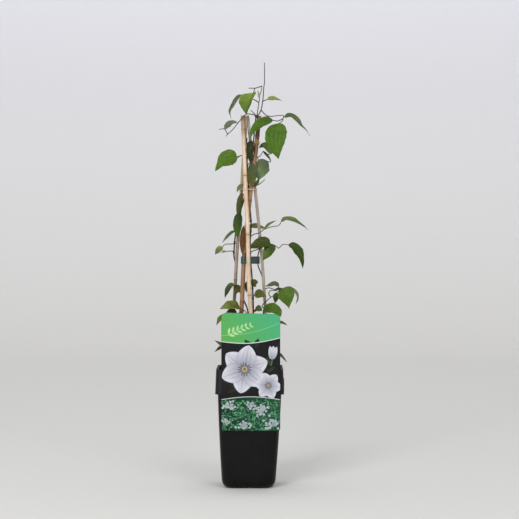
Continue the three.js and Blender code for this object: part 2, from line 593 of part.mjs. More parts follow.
function caneSolid({ radius, route, nodes }, extra = 0) {
  const curve = curveThrough(route);
  const length = curve.getLength();
  const foot = route[0][2];
  const top = route.at(-1)[2];
  const shares = new Set(evenShares(length, caneStep));
  const nodeShares = nodes.map((height) => (height - foot) / (top - foot));
  const reach = caneNodeHalfLength / length;
  for (const share of nodeShares) {
    shares.add(share - reach);
    shares.add(share);
    shares.add(share + reach);
  }
  const sorted = [...shares].sort((a, b) => a - b);
  const radiusAt = (share) => radius + extra + (nodeShares.includes(share) ? caneNodeSwell : 0);
  return bar(curve, sorted, radiusAt, caneSides);
}

function shootSolid(route, footRadius, tipRadius, extra = 0) {
  const curve = curveThrough(route);
  const shares = evenShares(curve.getLength(), shootStep);
  const radiusAt = (share) => footRadius + (tipRadius - footRadius) * share + extra;
  return bar(curve, shares, radiusAt, shootSides);
}

function petioleSolid(route) {
  const curve = curveThrough(route);
  return bar(curve, evenShares(curve.getLength(), petioleStep), () => petioleRadius, petioleSides);
}

function budSolid() {
  const curve = curveThrough([bud.bottom, bud.top]);
  const profile = [0.45, 0.9, 1, 0.7, 0.25];
  const shares = profile.map((_, i) => i / (profile.length - 1));
  return bar(curve, shares, (share) => bud.radius * profile[Math.round(share * 4)], shootSides);
}

function leafyShoot(route, footRadius, tipRadius, foliage, extras = []) {
  const petioles = foliage.petioles.map(petioleSolid);
  const blades = foliage.leaves.map(blade);
  return join([shootSolid(route, footRadius, tipRadius), ...petioles, ...blades, ...extras]);
}

// Half width and corner radius at a height between two levels
function levelAt(levels, z) {
  const above = levels.findIndex((level) => level.z >= z);
  const low = levels[Math.max(0, above - 1)];
  const high = levels[above];
  const share = high.z > low.z ? (z - low.z) / (high.z - low.z) : 0;
  const half = low.half + share * (high.half - low.half);
  const corner = low.corner + share * (high.corner - low.corner);
  return { z, half, corner };
}

function shrunk({ z, half, corner }, amount) {
  return { z, half: half - amount, corner: Math.max(2, corner - amount) };
}

function potSolid() {
  const lipLevel = { half: lipHalf, corner: lipCorner };
  const mouthLevel = { half: lipHalf - lipThickness, corner: lipCorner - lipThickness };
  const outer = solidFromLevels([
    ...potFoot,
    ...potWalls,
    { z: potHeight - lipDepth, ...lipLevel },
    { z: potHeight, ...lipLevel },
  ], potCentre);
  const inner = solidFromLevels([
    ...potHollow,
    { z: potWalls.at(-1).z + 3, ...mouthLevel },
    { z: potHeight + 1, ...mouthLevel },
  ], potCentre);
  let pot = outer.subtract(inner);
  const middle = potLeanBottom;
  const side = drainChannelWidth / 2;
  const reach = potFoot.at(-1).half + 2;
  const channels = [
    box([middle + drainPadHalf, -side, -1], [middle + reach, side, drainChannelHeight]),
    box([middle - side, drainPadHalf, -1], [middle + side, reach, drainChannelHeight]),
    box([middle - reach, -side, -1], [middle - drainPadHalf, side, drainChannelHeight]),
    box([middle - side, -reach, -1], [middle + side, -drainPadHalf, drainChannelHeight]),
  ];
  for (const channel of channels) {
    pot = pot.subtract(channel);
  }
  const drainHoles = [[1, 0], [0, 1], [-1, 0], [0, -1]];
  for (const [dx, dy] of drainHoles) {
    const x = middle + dx * drainHoleOffset;
    const y = dy * drainHoleOffset;
    const axis = curveThrough([[x, y, -1], [x, y, potFloor + 1]]);
    pot = pot.subtract(bar(axis, [0, 1], () => drainHoleRadius, 8));
  }
  return pot;
}

function soilSolid() {
  const crown = levelAt(potHollow, soilTop);
  const surface = soilTop - soilMound;
  const filled = [...potHollow.filter((level) => level.z < surface), levelAt(potHollow, surface)];
  const bottom = { ...filled[0], z: potFloor + gap };
  let soil = solidFromLevels([
    shrunk(bottom, 2 * gap),
    ...filled.slice(1).map((level) => shrunk(level, gap)),
    { ...shrunk(crown, soilMoundInset), z: soilTop - 1 },
    shrunk(crown, 2.2 * soilMoundInset),
  ], potCentre);
  for (const cane of Object.values(canes)) {
    const [x, y, z] = cane.route[0];
    const deeper = { ...cane, route: [[x, y, z - 1], ...cane.route.slice(1)] };
    soil = soil.subtract(caneSolid(deeper, 0.35));
  }
  for (const route of [mainShoot, leftShoot, rightShoot]) {
    const [x, y, z] = route[0];
    soil = soil.subtract(shootSolid([[x, y, z - 1], ...route.slice(1, 4)], 1.6, 1.6, 0.4));
  }
  return soil;
}

function labelSolid() {
  const depthCurve = curveThrough(cardDepth.map(([z, y]) => [0, y, z]));
  const depthAt = (z) => pointAtHeight(depthCurve, z).y;
  const levels = [];
  for (let i = 0; i <= 4; i += 1) {
    levels.push(cardBottom + cardCornerBottom * (1 - Math.cos(i / 4 * Math.PI / 2)));
  }
  levels.push(122, 140, 155, beltBottom, 176, 189, 199, beltTop, 235, 260, 280);
  for (let i = 4; i >= 0; i -= 1) {
    levels.push(cardTop - cardCornerTop * (1 - Math.cos(i / 4 * Math.PI / 2)));
  }
  const rows = levels.map((z) => {
    const low = z - cardBottom;
    const high = cardTop - z;
    let inset = 0;
    if (low < cardCornerBottom) {
      inset = cardCornerBottom - Math.sqrt(cardCornerBottom ** 2 - (cardCornerBottom - low) ** 2);
    } else if (high < cardCornerTop) {
      inset = cardCornerTop - Math.sqrt(cardCornerTop ** 2 - (cardCornerTop - high) ** 2);
    }
    const reach = cardHalfWidth - inset;
    const droop = cardSlant * Math.max(0, (z - beltTop) / (cardTop - beltTop));
    return [-1, 0, 1].map((side) => {
      return new THREE.Vector3(cardCentreX + side * reach, depthAt(z), z - side * droop);
    });
  });
  const normal = new THREE.Vector3(0, -1, 0);
  const card = sheet(rows, rows.map(() => normal), cardThickness);
  const outer = [
    { z: beltBottom, half: beltHalfBottom, corner: beltCorner },
    { z: beltTop, half: beltHalfTop, corner: beltCorner },
  ];
  const slope = (beltHalfTop - beltHalfBottom) / (beltTop - beltBottom);
  const inner = [
    { z: beltBottom - 1, half: beltHalfBottom - slope - cardThickness, corner: beltCorner - cardThickness },
    { z: beltTop + 1, half: beltHalfTop + slope - cardThickness, corner: beltCorner - cardThickness },
  ];
  const beltMiddle = () => beltCentreX;
  const belt = solidFromLevels(outer, beltMiddle).subtract(solidFromLevels(inner, beltMiddle));
  const tabHalf = beltHalfBottom + slope * (beltTab.bottom - beltBottom) - 0.5;
  const tab = box(
    [beltCentreX + tabHalf - 0.4, -beltTab.depth, beltTab.bottom],
    [beltCentreX + tabHalf + beltTab.thickness, -beltTab.depth + 46, beltTab.top],
  );
  return join([card, belt, tab]);
}

function twineSolid() {
  const circles = Object.values(canes).map((cane) => circleAt(cane.route, twineHeight, cane.radius));
  const outline = outlineRound(circles, gap + twineRadius, 16);
  return levelLoop(outline.map(([x, y]) => [x, y, twineHeight]), roundSection(twineRadius, 6));
}

function raffiaSolid() {
  const cane = circleAt(canes.cane_front_left.route, raffiaHeight, canes.cane_front_left.radius);
  const shoot = circleAt(mainShoot, raffiaHeight, 1.3);
  const outline = outlineRound([cane, shoot], gap + 0.1 + raffiaRadius, 12);
  const section = roundSection(raffiaRadius, 5);
  const turns = [-1.1, 0.1].map((rise) => {
    return levelLoop(outline.map(([x, y]) => [x, y, raffiaHeight + rise]), section);
  });
  const front = cane.y - cane.radius - gap - raffiaRadius;
  const tails = [
    [[cane.x - 1, front, raffiaHeight], [cane.x - 3.4, front - 1.6, raffiaHeight + 3],
      [cane.x - 0.6, front - 2.6, raffiaHeight + 4.4], [cane.x + 1.2, front - 1, raffiaHeight + 0.6]],
    [[cane.x, front, raffiaHeight], [cane.x + 3.6, front - 1.8, raffiaHeight - 2],
      [cane.x + 5.4, front - 1.6, raffiaHeight - 5.4]],
  ];
  const ends = tails.map((tail) => {
    const curve = curveThrough(tail);
    return bar(curve, evenShares(curve.getLength(), 2.2), () => raffiaRadius, 5);
  });
  return join([...turns, ...ends]);
}

function tapeSolid() {
  const middle = (tapeBottom + tapeTop) / 2;
  const circles = [
    circleAt(canes.cane_front_left.route, middle, canes.cane_front_left.radius + 0.5),
    circleAt(mainShoot, middle, 1.6),
    circleAt(rightShoot, middle, 2.1),
  ];
  const half = (tapeTop - tapeBottom) / 2;
  const thick = tapeThickness / 2;
  const section = [[thick, -half], [thick, half], [-thick, half], [-thick, -half]];
  const outline = outlineRound(circles, gap + thick, 16);
  return levelLoop(outline.map(([x, y]) => [x, y, middle]), section);
}

const group = new THREE.Group();

function addMesh(name, solid, colour, roughness) {
  const { vertProperties, triVerts, numProp } = solid.getMesh();
  if (numProp !== 3) {
    throw new Error(`${name}: vertices hold more than their position`);
  }
  const geometry = new THREE.BufferGeometry();
  geometry.setAttribute("position", new THREE.BufferAttribute(vertProperties, 3));
  geometry.setIndex(new THREE.BufferAttribute(triVerts, 1));
  geometry.computeVertexNormals();
  const material = new THREE.MeshStandardMaterial({ color: colour, roughness, metalness: 0 });
  const mesh = new THREE.Mesh(geometry, material);
  mesh.name = name;
  group.add(mesh);
}

addMesh("pot", potSolid(), 0x1d1d1e, 0.55);
addMesh("soil", soilSolid(), 0x3b2c20, 0.95);
for (const [name, cane] of Object.entries(canes)) {
  addMesh(name, caneSolid(cane), cane.colour, 0.55);
}
addMesh("cane_tie", twineSolid(), 0xe6d9b8, 0.8);
addMesh("raffia_knot", raffiaSolid(), 0xd2aa78, 0.8);
addMesh("tape_loop", tapeSolid(), 0x24403e, 0.5);
addMesh("label", labelSolid(), 0x4caf78, 0.35);
addMesh("clematis_shoot_main", leafyShoot(mainShoot, 1.5, 1.15, mainFoliage, [budSolid()]), 0x4b7d28, 0.6);
addMesh("clematis_shoot_left", leafyShoot(leftShoot, 1.5, 1.1, leftFoliage), 0x41702a, 0.6);
addMesh("clematis_shoot_right", leafyShoot(rightShoot, 1.4, 1, rightFoliage), 0x4f8230, 0.6);

export default group;
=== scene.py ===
# A young clematis on a wigwam of four bamboo canes, in a tall square pot with soil and a printed label.
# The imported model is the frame. Tables of points are in millimetres, everything in Blender in metres.
import bisect
import math
import random

import bpy
from mathutils import Matrix, Vector, noise


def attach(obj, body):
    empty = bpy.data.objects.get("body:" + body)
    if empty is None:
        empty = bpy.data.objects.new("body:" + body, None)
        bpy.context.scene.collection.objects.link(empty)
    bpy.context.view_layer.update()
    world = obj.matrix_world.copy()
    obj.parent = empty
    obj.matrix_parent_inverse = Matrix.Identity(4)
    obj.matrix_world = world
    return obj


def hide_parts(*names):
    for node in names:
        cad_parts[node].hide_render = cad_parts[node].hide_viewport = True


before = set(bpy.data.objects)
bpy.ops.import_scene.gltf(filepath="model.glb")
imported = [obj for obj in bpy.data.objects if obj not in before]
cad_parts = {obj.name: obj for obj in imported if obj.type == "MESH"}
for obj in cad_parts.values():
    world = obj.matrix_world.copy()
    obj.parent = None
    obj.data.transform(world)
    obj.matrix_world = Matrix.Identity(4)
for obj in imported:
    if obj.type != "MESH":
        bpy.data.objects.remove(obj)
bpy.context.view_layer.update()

MM = 0.001

# Pot: height, half width and plan corner radius, from the rounded foot up the bulging walls to the lip.
# The filled pot leans a little, from the first middle at the foot to the second at the lip.
POT_FOOT = [(0, 34, 10), (1.6, 39.6, 13), (4.6, 43.2, 15), (9, 45.9, 17), (14, 47.2, 18)]
POT_WALLS = [(60, 50.2, 17.2), (110, 53, 16.4), (155, 55, 15.7), (197.5, 56.4, 15)]
POT_MIDDLES = (-1.4, 0.9)
POT_WALL = 1.2
POT_FLOOR = 4.2
POT_TOP = 208
LIP_HALF = 56.9
LIP_CORNER = 14
LIP_THICKNESS = 2
LIP_BOTTOM = 199
# The rolled lip in height and inset, then the foot inside in height, half width and corner radius
LIP_ROLL = [(LIP_BOTTOM - 0.9, 0.35), (LIP_BOTTOM - 0.3, 0.12), (LIP_BOTTOM + 0.3, 0), (POT_TOP - 1.1, 0),
            (POT_TOP - 0.5, 0.15), (POT_TOP - 0.1, 0.5), (POT_TOP, 1), (POT_TOP - 0.1, 1.5),
            (POT_TOP - 0.6, 1.9), (POT_TOP - 1.2, LIP_THICKNESS), (POT_WALLS[-1][0] + 3, LIP_THICKNESS)]
POT_INSIDE_FOOT = [(8, 44, 15.8), (POT_FLOOR + 0.6, 41.4, 14), (POT_FLOOR, 39.8, 13)]
# Four channels drain the floor from here outwards, and each has a hole: how far out, and its radius
DRAIN_WIDTH = 21
DRAIN_HEIGHT = 2.3
DRAIN_START = 15
DRAIN_HOLE = (22, 4)
# Soil: top, fall to its edge, play to the pot's wall, and its foot in height, half width and corner radius
SOIL_TOP = 192
SOIL_FALL = 4
SOIL_PLAY = 0.35
SOIL_FOOT = [(POT_FLOOR + 0.4, 39.2, 13), (8, 43.6, 15.5)]

# Canes: radius, route from the foot in the soil to the top, heights of the nodes
CANES = {
    "cane_front": (
        3.6,
        [(9, -40, 59.4), (6.2, -31, 216.4), (2.1, -24, 312.4), (-0.6, -20, 354.4),
         (-3.4, -13.5, 459.4), (-6.6, -9, 521.4), (-11.9, 0.5, 653.4)],
        [120, 234, 336, 443, 547, 629],
    ),
    "cane_front_left": (
        3.9,
        [(-33.6, -26, 59.4), (-21.4, -18, 215.4), (-14, -11, 311.4), (-9.3, -5, 406.4),
         (-2.8, -2, 474.4), (2.3, 0, 522.4), (11.5, 4, 593.4), (17, 7, 653.4)],
        [98, 207, 324, 430, 503, 619],
    ),
    "cane_back_left": (
        3,
        [(-40, 34, 59.4), (-35.8, 29, 212.4), (-27.1, 22, 326.4), (-22.7, 15, 406.4),
         (-14.3, 9, 522.4), (-5.7, 5, 653.4)],
        [134, 252, 363, 472, 576],
    ),
    "cane_right": (
        2.75,
        [(42, 8, 59.4), (36.7, 10, 213.4), (28.2, 11, 311.4), (22.5, 11.5, 394.4), (17.3, 12, 451.4),
         (10.1, 12, 522.4), (2.9, 12, 593.4), (-3.1, 12, 654.4)],
        [112, 228, 333, 439, 541, 624],
    ),
}
TWINE_HEIGHT = 522.9
RAFFIA_HEIGHT = 606.4
TAPE_BOTTOM = 391.6
TAPE_TOP = 404.2

# Label: a tall card and a belt round the pot's rim, cut from one sheet. The card's top slants a little.
CARD_MIDDLE = 2.6
CARD_HALF = 51
CARD_BOTTOM = 102.2
CARD_TOP = 305.8
CARD_SLANT = 1.4
CARD_CORNERS = (5, 9)
CARD_THICKNESS = 0.7
CARD_DEPTH = [(0, -55.8, 102), (0, -58.5, 140), (0, -60.2, 165.4), (0, -58.4, 208.5), (0, -57.4, 260),
              (0, -56.6, 308)]
BELT = (165.4, 59.9, 208.5, 58.2)
BELT_MIDDLE = 0.6
BELT_CORNER = 8
# The belt's tab at the side: centres of its rounded corners as (y, z), then how far its layers stand off
# the belt and their corner radius
TAB_CORNERS = [(-30, 171), (8, 171), (8, 185.4), (-30, 185.4)]
TAB_LAYERS = [(-1, 4), (0.2, 4), (0.5, 3.5)]

# Shoots and leaf stalks as lines. Leaves as midrib from base to tip, full width, the way the upper face
# looks, fold in degrees and colour, then where a leaf has its own: how drawn out the tip is, how much
# higher one lobe of the base is, and how far the blade draws in before its tip.
MAIN_SHOOT = [
    (4, -12, 168.4), (5, -12, 198.4), (6.6, -11, 252.4), (6.8, -9, 310.4), (4.5, -8, 366.4),
    (2, -6.5, 397.4), (1.3, -6, 433.4), (2.8, -0.5, 459.4), (1, 6.3, 492.4), (-2, 6, 522.4),
    (-0.5, 3.5, 557.4), (6.6, 3.2, 602.4), (7.6, 3, 614.4), (11.2, 1.5, 649.4), (12.4, 1, 654.4),
]
MAIN_PETIOLES = [
    [(12, 1, 652.4), (15.9, 0, 655.4), (20.4, -1, 663.4), (23.2, -1, 678.4), (24.4, -1, 688.4),
     (25.1, -1, 701.4), (26.5, -1, 713.4), (26.4, 0, 747.4)],
    [(12, 1, 652.4), (13.3, 0, 655.4), (15.4, -2, 667.4), (17, -2, 678.4), (18.6, -2, 690.4),
     (21.1, -2, 698.4), (22.1, -2, 706.4)],
    [(22.1, -2, 705.8), (16.5, -3, 703.6), (9.7, -4, 701.8), (-1.6, -4, 701.8)],
    [(9.7, -4, 701.8), (8.6, -4.6, 698.4), (6.5, -5.2, 692.7)],
    [(16.6, -2, 676.4), (9, -0.5, 681.4), (2, 1, 683.9), (-10, 2, 686)],
    [(10.5, 1, 655.4), (1.9, -1, 663.4)],
    [(12.2, 1, 653.9), (1.9, -2.5, 656), (-6, -5.4, 655.4), (-19.3, -5.6, 641.4), (-29, -5.4, 629.1),
     (-38.4, -5, 620.4), (-41.2, -5, 616.7)],
    [(-38.4, -5, 620.4), (-45, -6, 629.8), (-53.8, -6, 628.4)],
    [(23.2, -1, 678.7), (28, -1.5, 680.9), (33, -2, 682.6)],
    [(20.4, -1, 663.4), (29.4, -4, 654), (36.8, -6, 651.7), (50, -8, 652.9), (59.7, -8, 653),
     (62.4, -8, 649.8)],
    [(60.5, -8, 652.4), (59.4, -8.5, 647.4), (57.6, -9, 642.8), (52.6, -10.7, 639.2)],
    [(59, -8.5, 647.4), (50.3, -9, 643.4), (40, -10.3, 644.6)],
    [(2.4, 3.2, 574.4), (4.4, 7.6, 576.4), (9, 10, 579.4), (17.7, 11, 582.4), (24.5, 13, 591.9)],
    [(24.5, 13, 591.9), (31, 14, 585.4), (36.5, 14, 578.4), (37.2, 14, 572.4), (31.4, 13, 574)],
    [(31, 14, 585.4), (36, 14, 586.8), (40, 14, 587.8)],
    [(3.8, 3.2, 586.4), (4.6, -1.5, 605.4), (3, -3.8, 608.9)],
    [(-2, 6, 526.4), (4, 6.6, 527.9), (10, 4.8, 529.9), (14, 5, 530.9), (20, 7, 534.4), (27.3, 8, 541.2)],
    [(1.6, -5, 440.4), (9, -7, 443.9), (17.2, -8, 445.9), (27.4, -8.5, 453), (40, -9, 456.9),
     (51.9, -10, 459.4), (57, -10, 467.9)],
    [(1.6, -6.3, 411.4), (7, -7.5, 414.4), (13.3, -8.5, 416.2), (24, -9, 421.4), (34, -9, 426.9),
     (44.8, -9, 423.8), (51.2, -9, 419), (58.2, -9, 425.4), (64, -9, 425.4), (69.5, -9.2, 425.2)],
    [(4.9, -8.1, 354.4), (0, -5.5, 362.4), (-6, -2.4, 358.4)],
    [(5, -8.2, 348.4), (5.2, -10.5, 352.9)],
    [(6.1, -8.8, 331), (9.8, -11.4, 339.4)],
    [(6.8, -9.4, 298.4), (7.4, -12.5, 306.4), (9.6, -15.6, 310.8)],
    [(6.7, -11, 270.4), (10, 4, 278.4), (12, 20.6, 282.4)],
    [(14.6, 10.7, 581.4), (15.2, 16, 576.4), (14.6, 22.4, 568.4)],
    [(2.4, 1.6, 468.4), (-1.5, 10, 463), (-1.6, 18.6, 455.9)],
    [(6.6, -11, 238.4), (14, -18, 248.4), (21, -29, 252.4)],
    [(2.2, -3.2, 449.4), (-1, -8, 454.6), (-4, -8.5, 457), (-7.5, -9.4, 458.4), (-10.4, -10.2, 457.2)],
]
MAIN_LEAVES = [
    ([(6.8, -5, 693.4), (1.2, -7, 682.4), (-2.8, -9, 669.4), (-5.5, -10.5, 654.4)],
     31, (-0.6, -0.8, 0.2), 34, "sun>fresh", 1.1, 0.55),
    ([(-9, 2, 685.9), (-17.5, 2, 687.9), (-24.8, 1, 681.4), (-31, 0, 670.4), (-35.6, 0, 660.9),
      (-32.5, 0, 648.4)],
     7, (0.4, -0.75, 0.5), 35, "drab"),
    ([(-43.6, -6, 629.4), (-37, -6.4, 636.4), (-29.5, -6.8, 640.8), (-20.4, -7.4, 641)],
     13, (-0.3, -0.8, 0.5), 18, "ash"),
    ([(31.6, -2, 682.4), (42, -3, 683.2), (58, -3.6, 679.8)], 11, (0, -0.75, 0.65), 18, "lime", 1.6),
    ([(61.8, -8, 649.8), (73, -8, 650.9), (84, -8.5, 642.6), (91, -9, 634.4), (98.5, -9, 628.6),
      (106.9, -9, 617.1)],
     15, (0.3, -0.6, 0.75), 28, "moss>drab", 2),
    ([(52.4, -10.7, 639.4), (47.6, -14, 624), (46.4, -18, 600), (51, -21, 575.4)],
     38, (-0.12, -1, 0.2), 10, "fresh", 1.1, 0.3),
    ([(41, -10, 644.9), (29, -13, 642.4), (16, -14, 635.2), (6.3, -15, 625.4), (2.1, -15, 613.4)],
     20, (-0.3, -0.85, 0.45), 14, "mid>fresh"),
    ([(39.6, 14, 587.4), (34, 15, 598.4), (25, 15.5, 602.4), (16.5, 15.5, 597.4)],
     15, (0.1, -1, 0.3), 14, "sage>dusk"),
    ([(24.5, 13, 591.9), (31, 13.8, 585.4), (36, 13.8, 578.4), (37.4, 13.8, 572.4)],
     5, (-0.5, -0.85, -0.2), 25, "dusk"),
    ([(31.6, 13, 574.4), (25, 11.5, 566), (19.6, 11.5, 553), (15.4, 12, 539.4)],
     29, (-0.2, 0.92, 0.35), 10, "slate>sage"),
    ([(10, 4.8, 529.9), (13.2, 4.4, 535.4), (17.8, 4.4, 543.4)], 7, (0.5, -0.8, 0.3), 20, "meadow"),
    ([(3, -3.5, 609.4), (1.5, -5, 598.4), (0.5, -5.2, 585.4), (1, -4.4, 569.9)],
     14, (0, -1, 0.2), 22, "shade"),
    ([(26.5, -8.4, 452.4), (36, -8.8, 460.4), (47.4, -10, 467.9)], 9, (-0.35, -0.5, 0.8), 28, "pale"),
    ([(56.3, -10, 465.8), (63, -11, 469.9), (75, -12, 468.9), (87, -12, 462.9), (96, -12, 457.4),
      (103.4, -12, 451)],
     14, (0.2, -0.55, 0.8), 17, "pale>meadow", 1.5),
    ([(37, -9, 426.4), (25, -10.6, 428.9), (11, -11.2, 424.4), (-2, -10.4, 418.4)],
     23, (-0.15, -0.85, 0.5), 10, "dark>rust"),
    ([(42, -9, 425.8), (37, -12, 418.4), (31, -13, 408.4), (23.5, -13, 397.4)],
     21, (-0.25, -0.9, 0.4), 14, "dark>meadow"),
    ([(69, -9.2, 425.2), (78, -10, 420.6), (86, -11, 410.4), (91.8, -12, 397.4), (94, -12, 383.4)],
     21, (0.5, -0.75, 0.45), 20, "dark", 1.1, 0, 0.26),
    ([(-5.5, -2.6, 358.9), (-5.2, -4.4, 350.4), (-5.8, -5.2, 340.4)], 8, (0.2, -1, 0.2), 18, "rust"),
    ([(5, -10.2, 352.6), (9, -12, 358), (15.6, -13, 359.4)], 15, (0, -0.95, 0.4), 14, "rust"),
    ([(9, -11, 338), (18, -14, 338), (29, -15, 334.8)], 17, (0.1, -0.9, 0.4), 14, "olive"),
    ([(9.6, -14.6, 309.6), (15.2, -18.6, 311.4), (22.6, -21.6, 308.8)], 17, (0.1, -0.7, 0.7), 16, "dusk"),
    ([(12, 20, 282.4), (13, 32, 278.4), (12, 44, 264.4)], 22, (0, 0.5, 0.85), 14, "mid"),
    ([(14, 22, 568.4), (20, 31, 563.4), (24, 40, 548.4)], 17, (0.1, 0.6, 0.8), 14, "mid"),
    ([(-2, 18.4, 455.3), (8, 22, 457.9), (19, 22.4, 456.4), (30, 21, 452.9)],
     16, (0, -0.55, 0.83), 14, "hay"),
    ([(20, -28, 252.4), (27, -38, 248.4), (33, -47, 236.4)], 19, (0.3, -0.5, 0.8), 14, "mid"),
    ([(-10.4, -10.1, 457.8), (-12.4, -10.6, 434), (-13.2, -11, 410)], 9, (-0.2, -1, 0), 20, "dried", 0.7),
]
LEFT_SHOOT = [
    (-2, 2, 168.4), (-2, 2, 198.4), (-1, 2, 262.4), (-3.4, 1, 309.4), (-9, 4, 324.4), (-16, 14, 339.4),
    (-23, 24.8, 352.4), (-25, 24.5, 368.4), (-24.2, 22.6, 387.4), (-27.8, 18.6, 405.4), (-27, 9, 423.4),
    (-25.6, 8, 438.4), (-20, 5, 472.4), (-10.5, 0, 502.4), (-4.5, -1, 534.4), (-3.8, -1.2, 550.4),
    (-4.1, -1, 568.4), (-4.5, -0.8, 592.4), (-4.8, 1, 614.4),
]
LEFT_PETIOLES = [
    [(-4.1, -1, 564.4), (-1, -3, 568.9), (4, -4.7, 568.6)],
    [(-4.3, -0.9, 578.4), (-8.5, 2.3, 581.4), (-14.5, 0, 583), (-22.5, -5, 577.4)],
    [(-5.6, -0.8, 526.4), (-9.5, -0.8, 530.8), (-13, -4, 531.9)],
    [(-8.6, -0.3, 509.4), (-11, -3, 514.4), (-13.4, -6.4, 516)],
    [(-23.5, 6.5, 447.4), (-24.4, 1, 450.8), (-25, -2.4, 449)],
    [(-25.7, 8, 428.4), (-25, 2, 427.2), (-33, -2, 426.4), (-42.8, -4, 425.6), (-48.4, -4.2, 420.4)],
    [(-27.8, 15.4, 411.4), (-31, 6, 413.9), (-40.7, -1, 413.4), (-44, -1.4, 413)],
    [(-21.4, 22.4, 349.4), (-19, 12, 352.4), (-19.5, 2, 353.4), (-22, -2, 353.8), (-26.6, -4, 353.4)],
    [(-9, -19, 309.4), (-15, -20, 305.8), (-22.6, -21, 304.4)],
    [(-3, 1.1, 300.4), (-6, -8, 305.4), (-9, -19, 309.4), (-18, -22.6, 314.8)],
    [(-1.9, 1.6, 286.4), (-14, 2, 292.4), (-28, -10, 300.4), (-41, -22.6, 301.4)],
    [(-1.5, 2, 230.4), (-15, 0, 238.4), (-28, -8, 238.8), (-39, -14.4, 241.2)],
    [(-15, 0, 238.4), (-28, 1, 240.4), (-41, -2.4, 242.6)],
    [(-1, 2, 272.4), (-10, 8, 284.4), (-22.6, 14, 291.4)],
    [(-14.5, 0, 583), (-18, 6, 582.4), (-25, 13, 581), (-33.6, 19.4, 579.4)],
    [(-1.1, 2, 250.4), (-8, 14, 260.4), (-18.4, 31, 264.4)],
    [(-1.7, 2, 214.4), (-6, -10, 224.4), (-8, -23, 228.8)],
]
LEFT_LEAVES = [
    ([(3.6, -4.6, 569), (4.6, -6.2, 558.4), (4.6, -6.8, 545.4), (3, -6.4, 527)],
     17, (0, -1, 0.1), 12, "teal>olive", 0.8),
    ([(-21.5, -4.6, 577.7), (-33, -8, 578.2), (-47, -9, 571.4), (-60.5, -9.4, 555)],
     32, (-0.05, -0.92, 0.4), 14, "rich>fresh", 1.1, 0, 0.36),
    ([(-12.6, -3.8, 531.8), (-18, -6.4, 525.8), (-22.4, -7, 517.4)], 8, (-0.4, -0.8, 0.4), 18, "pale"),
    ([(-13, -6, 516.4), (-16.4, -8, 499.4), (-18.2, -9, 480.4), (-20, -9, 462.4)],
     12, (-0.45, -0.9, 0.1), 22, "rust>dark"),
    ([(-18, -8.8, 482), (-19.8, -12, 468), (-20.8, -13, 453), (-21.4, -13, 438.4)],
     17, (-0.3, -0.95, 0.1), 14, "shade>mid", 0.8),
    ([(-24.6, -2, 449.4), (-31, -5, 446.4), (-40, -7, 437.9), (-48.3, -8, 428.4)],
     8, (0.1, -0.45, 0.88), 18, "moss>ash"),
    ([(-47.6, -4, 421), (-54, -5, 415.8), (-61, -5, 407.9)], 13, (-0.3, -0.8, 0.5), 14, "lime>ash"),
    ([(-42.5, -1.2, 413.2), (-45.6, -1.6, 412.8), (-49.4, -2, 411.2)], 5, (0, -0.7, 0.7), 14, "lime"),
    ([(-26, -4, 353.4), (-32, -6, 352.9), (-38.5, -7, 343.4), (-43.5, -8, 331.4)],
     13, (-0.3, -0.6, 0.7), 20, "dusk>shade"),
    ([(-19.6, 1.4, 353.4), (-21.5, -2.5, 347.4), (-24.5, -5, 337.4)], 14, (-0.2, -0.95, 0.2), 16, "rust"),
    ([(-17, -22, 314.4), (-28, -28, 318.4), (-40, -33, 316.4), (-51.5, -36, 312.4)],
     24, (0, -0.62, 0.78), 14, "bronze>golden"),
    ([(-22, -21, 304.4), (-32, -25, 306.4), (-43, -29, 301.4)], 14, (-0.1, -0.8, 0.6), 14, "dusk"),
    ([(-40, -22, 301.4), (-49, -28, 296.4), (-57.6, -32, 284)], 14, (-0.4, -0.5, 0.75), 16, "meadow"),
    ([(-38, -14, 240.8), (-49, -18, 248.4), (-61, -20, 256.9)], 11, (0.2, -0.6, 0.75), 18, "drab"),
    ([(-40, -2, 242.4), (-50, -6, 242.4), (-61.7, -8, 235.7)], 12, (-0.2, -0.4, 0.9), 18, "shade"),
    ([(-22, 14, 291.4), (-34, 13, 293.4), (-46, 11, 284.4)], 16, (-0.2, 0.4, 0.87), 14, "mid"),
    ([(-33, 19, 579.4), (-43, 26, 577.4), (-51, 32, 568.4)], 17, (-0.3, 0.4, 0.87), 14, "mid"),
    ([(-18, 30, 264.4), (-22, 42, 260.4), (-26, 54, 246.4)], 22, (-0.1, 0.4, 0.9), 14, "mid"),
    ([(-8, -22, 228.4), (-8, -34, 230.4), (-10, -46, 221.4)], 14, (0, -0.3, 0.95), 14, "mid"),
]
RIGHT_SHOOT = [
    (16, 12, 168.4), (17, 11, 198.4), (21, 10, 262.4), (24.5, 12, 298.4), (26.5, 15.6, 322.4),
    (25.5, 17.2, 347.4), (22.2, 16, 369.4), (15.2, 11.2, 388.4), (15, 11, 398), (15.2, 11.2, 407.4),
    (19, 16.6, 422.4), (18.5, 17, 438.4), (17.6, 17, 446.4),
]
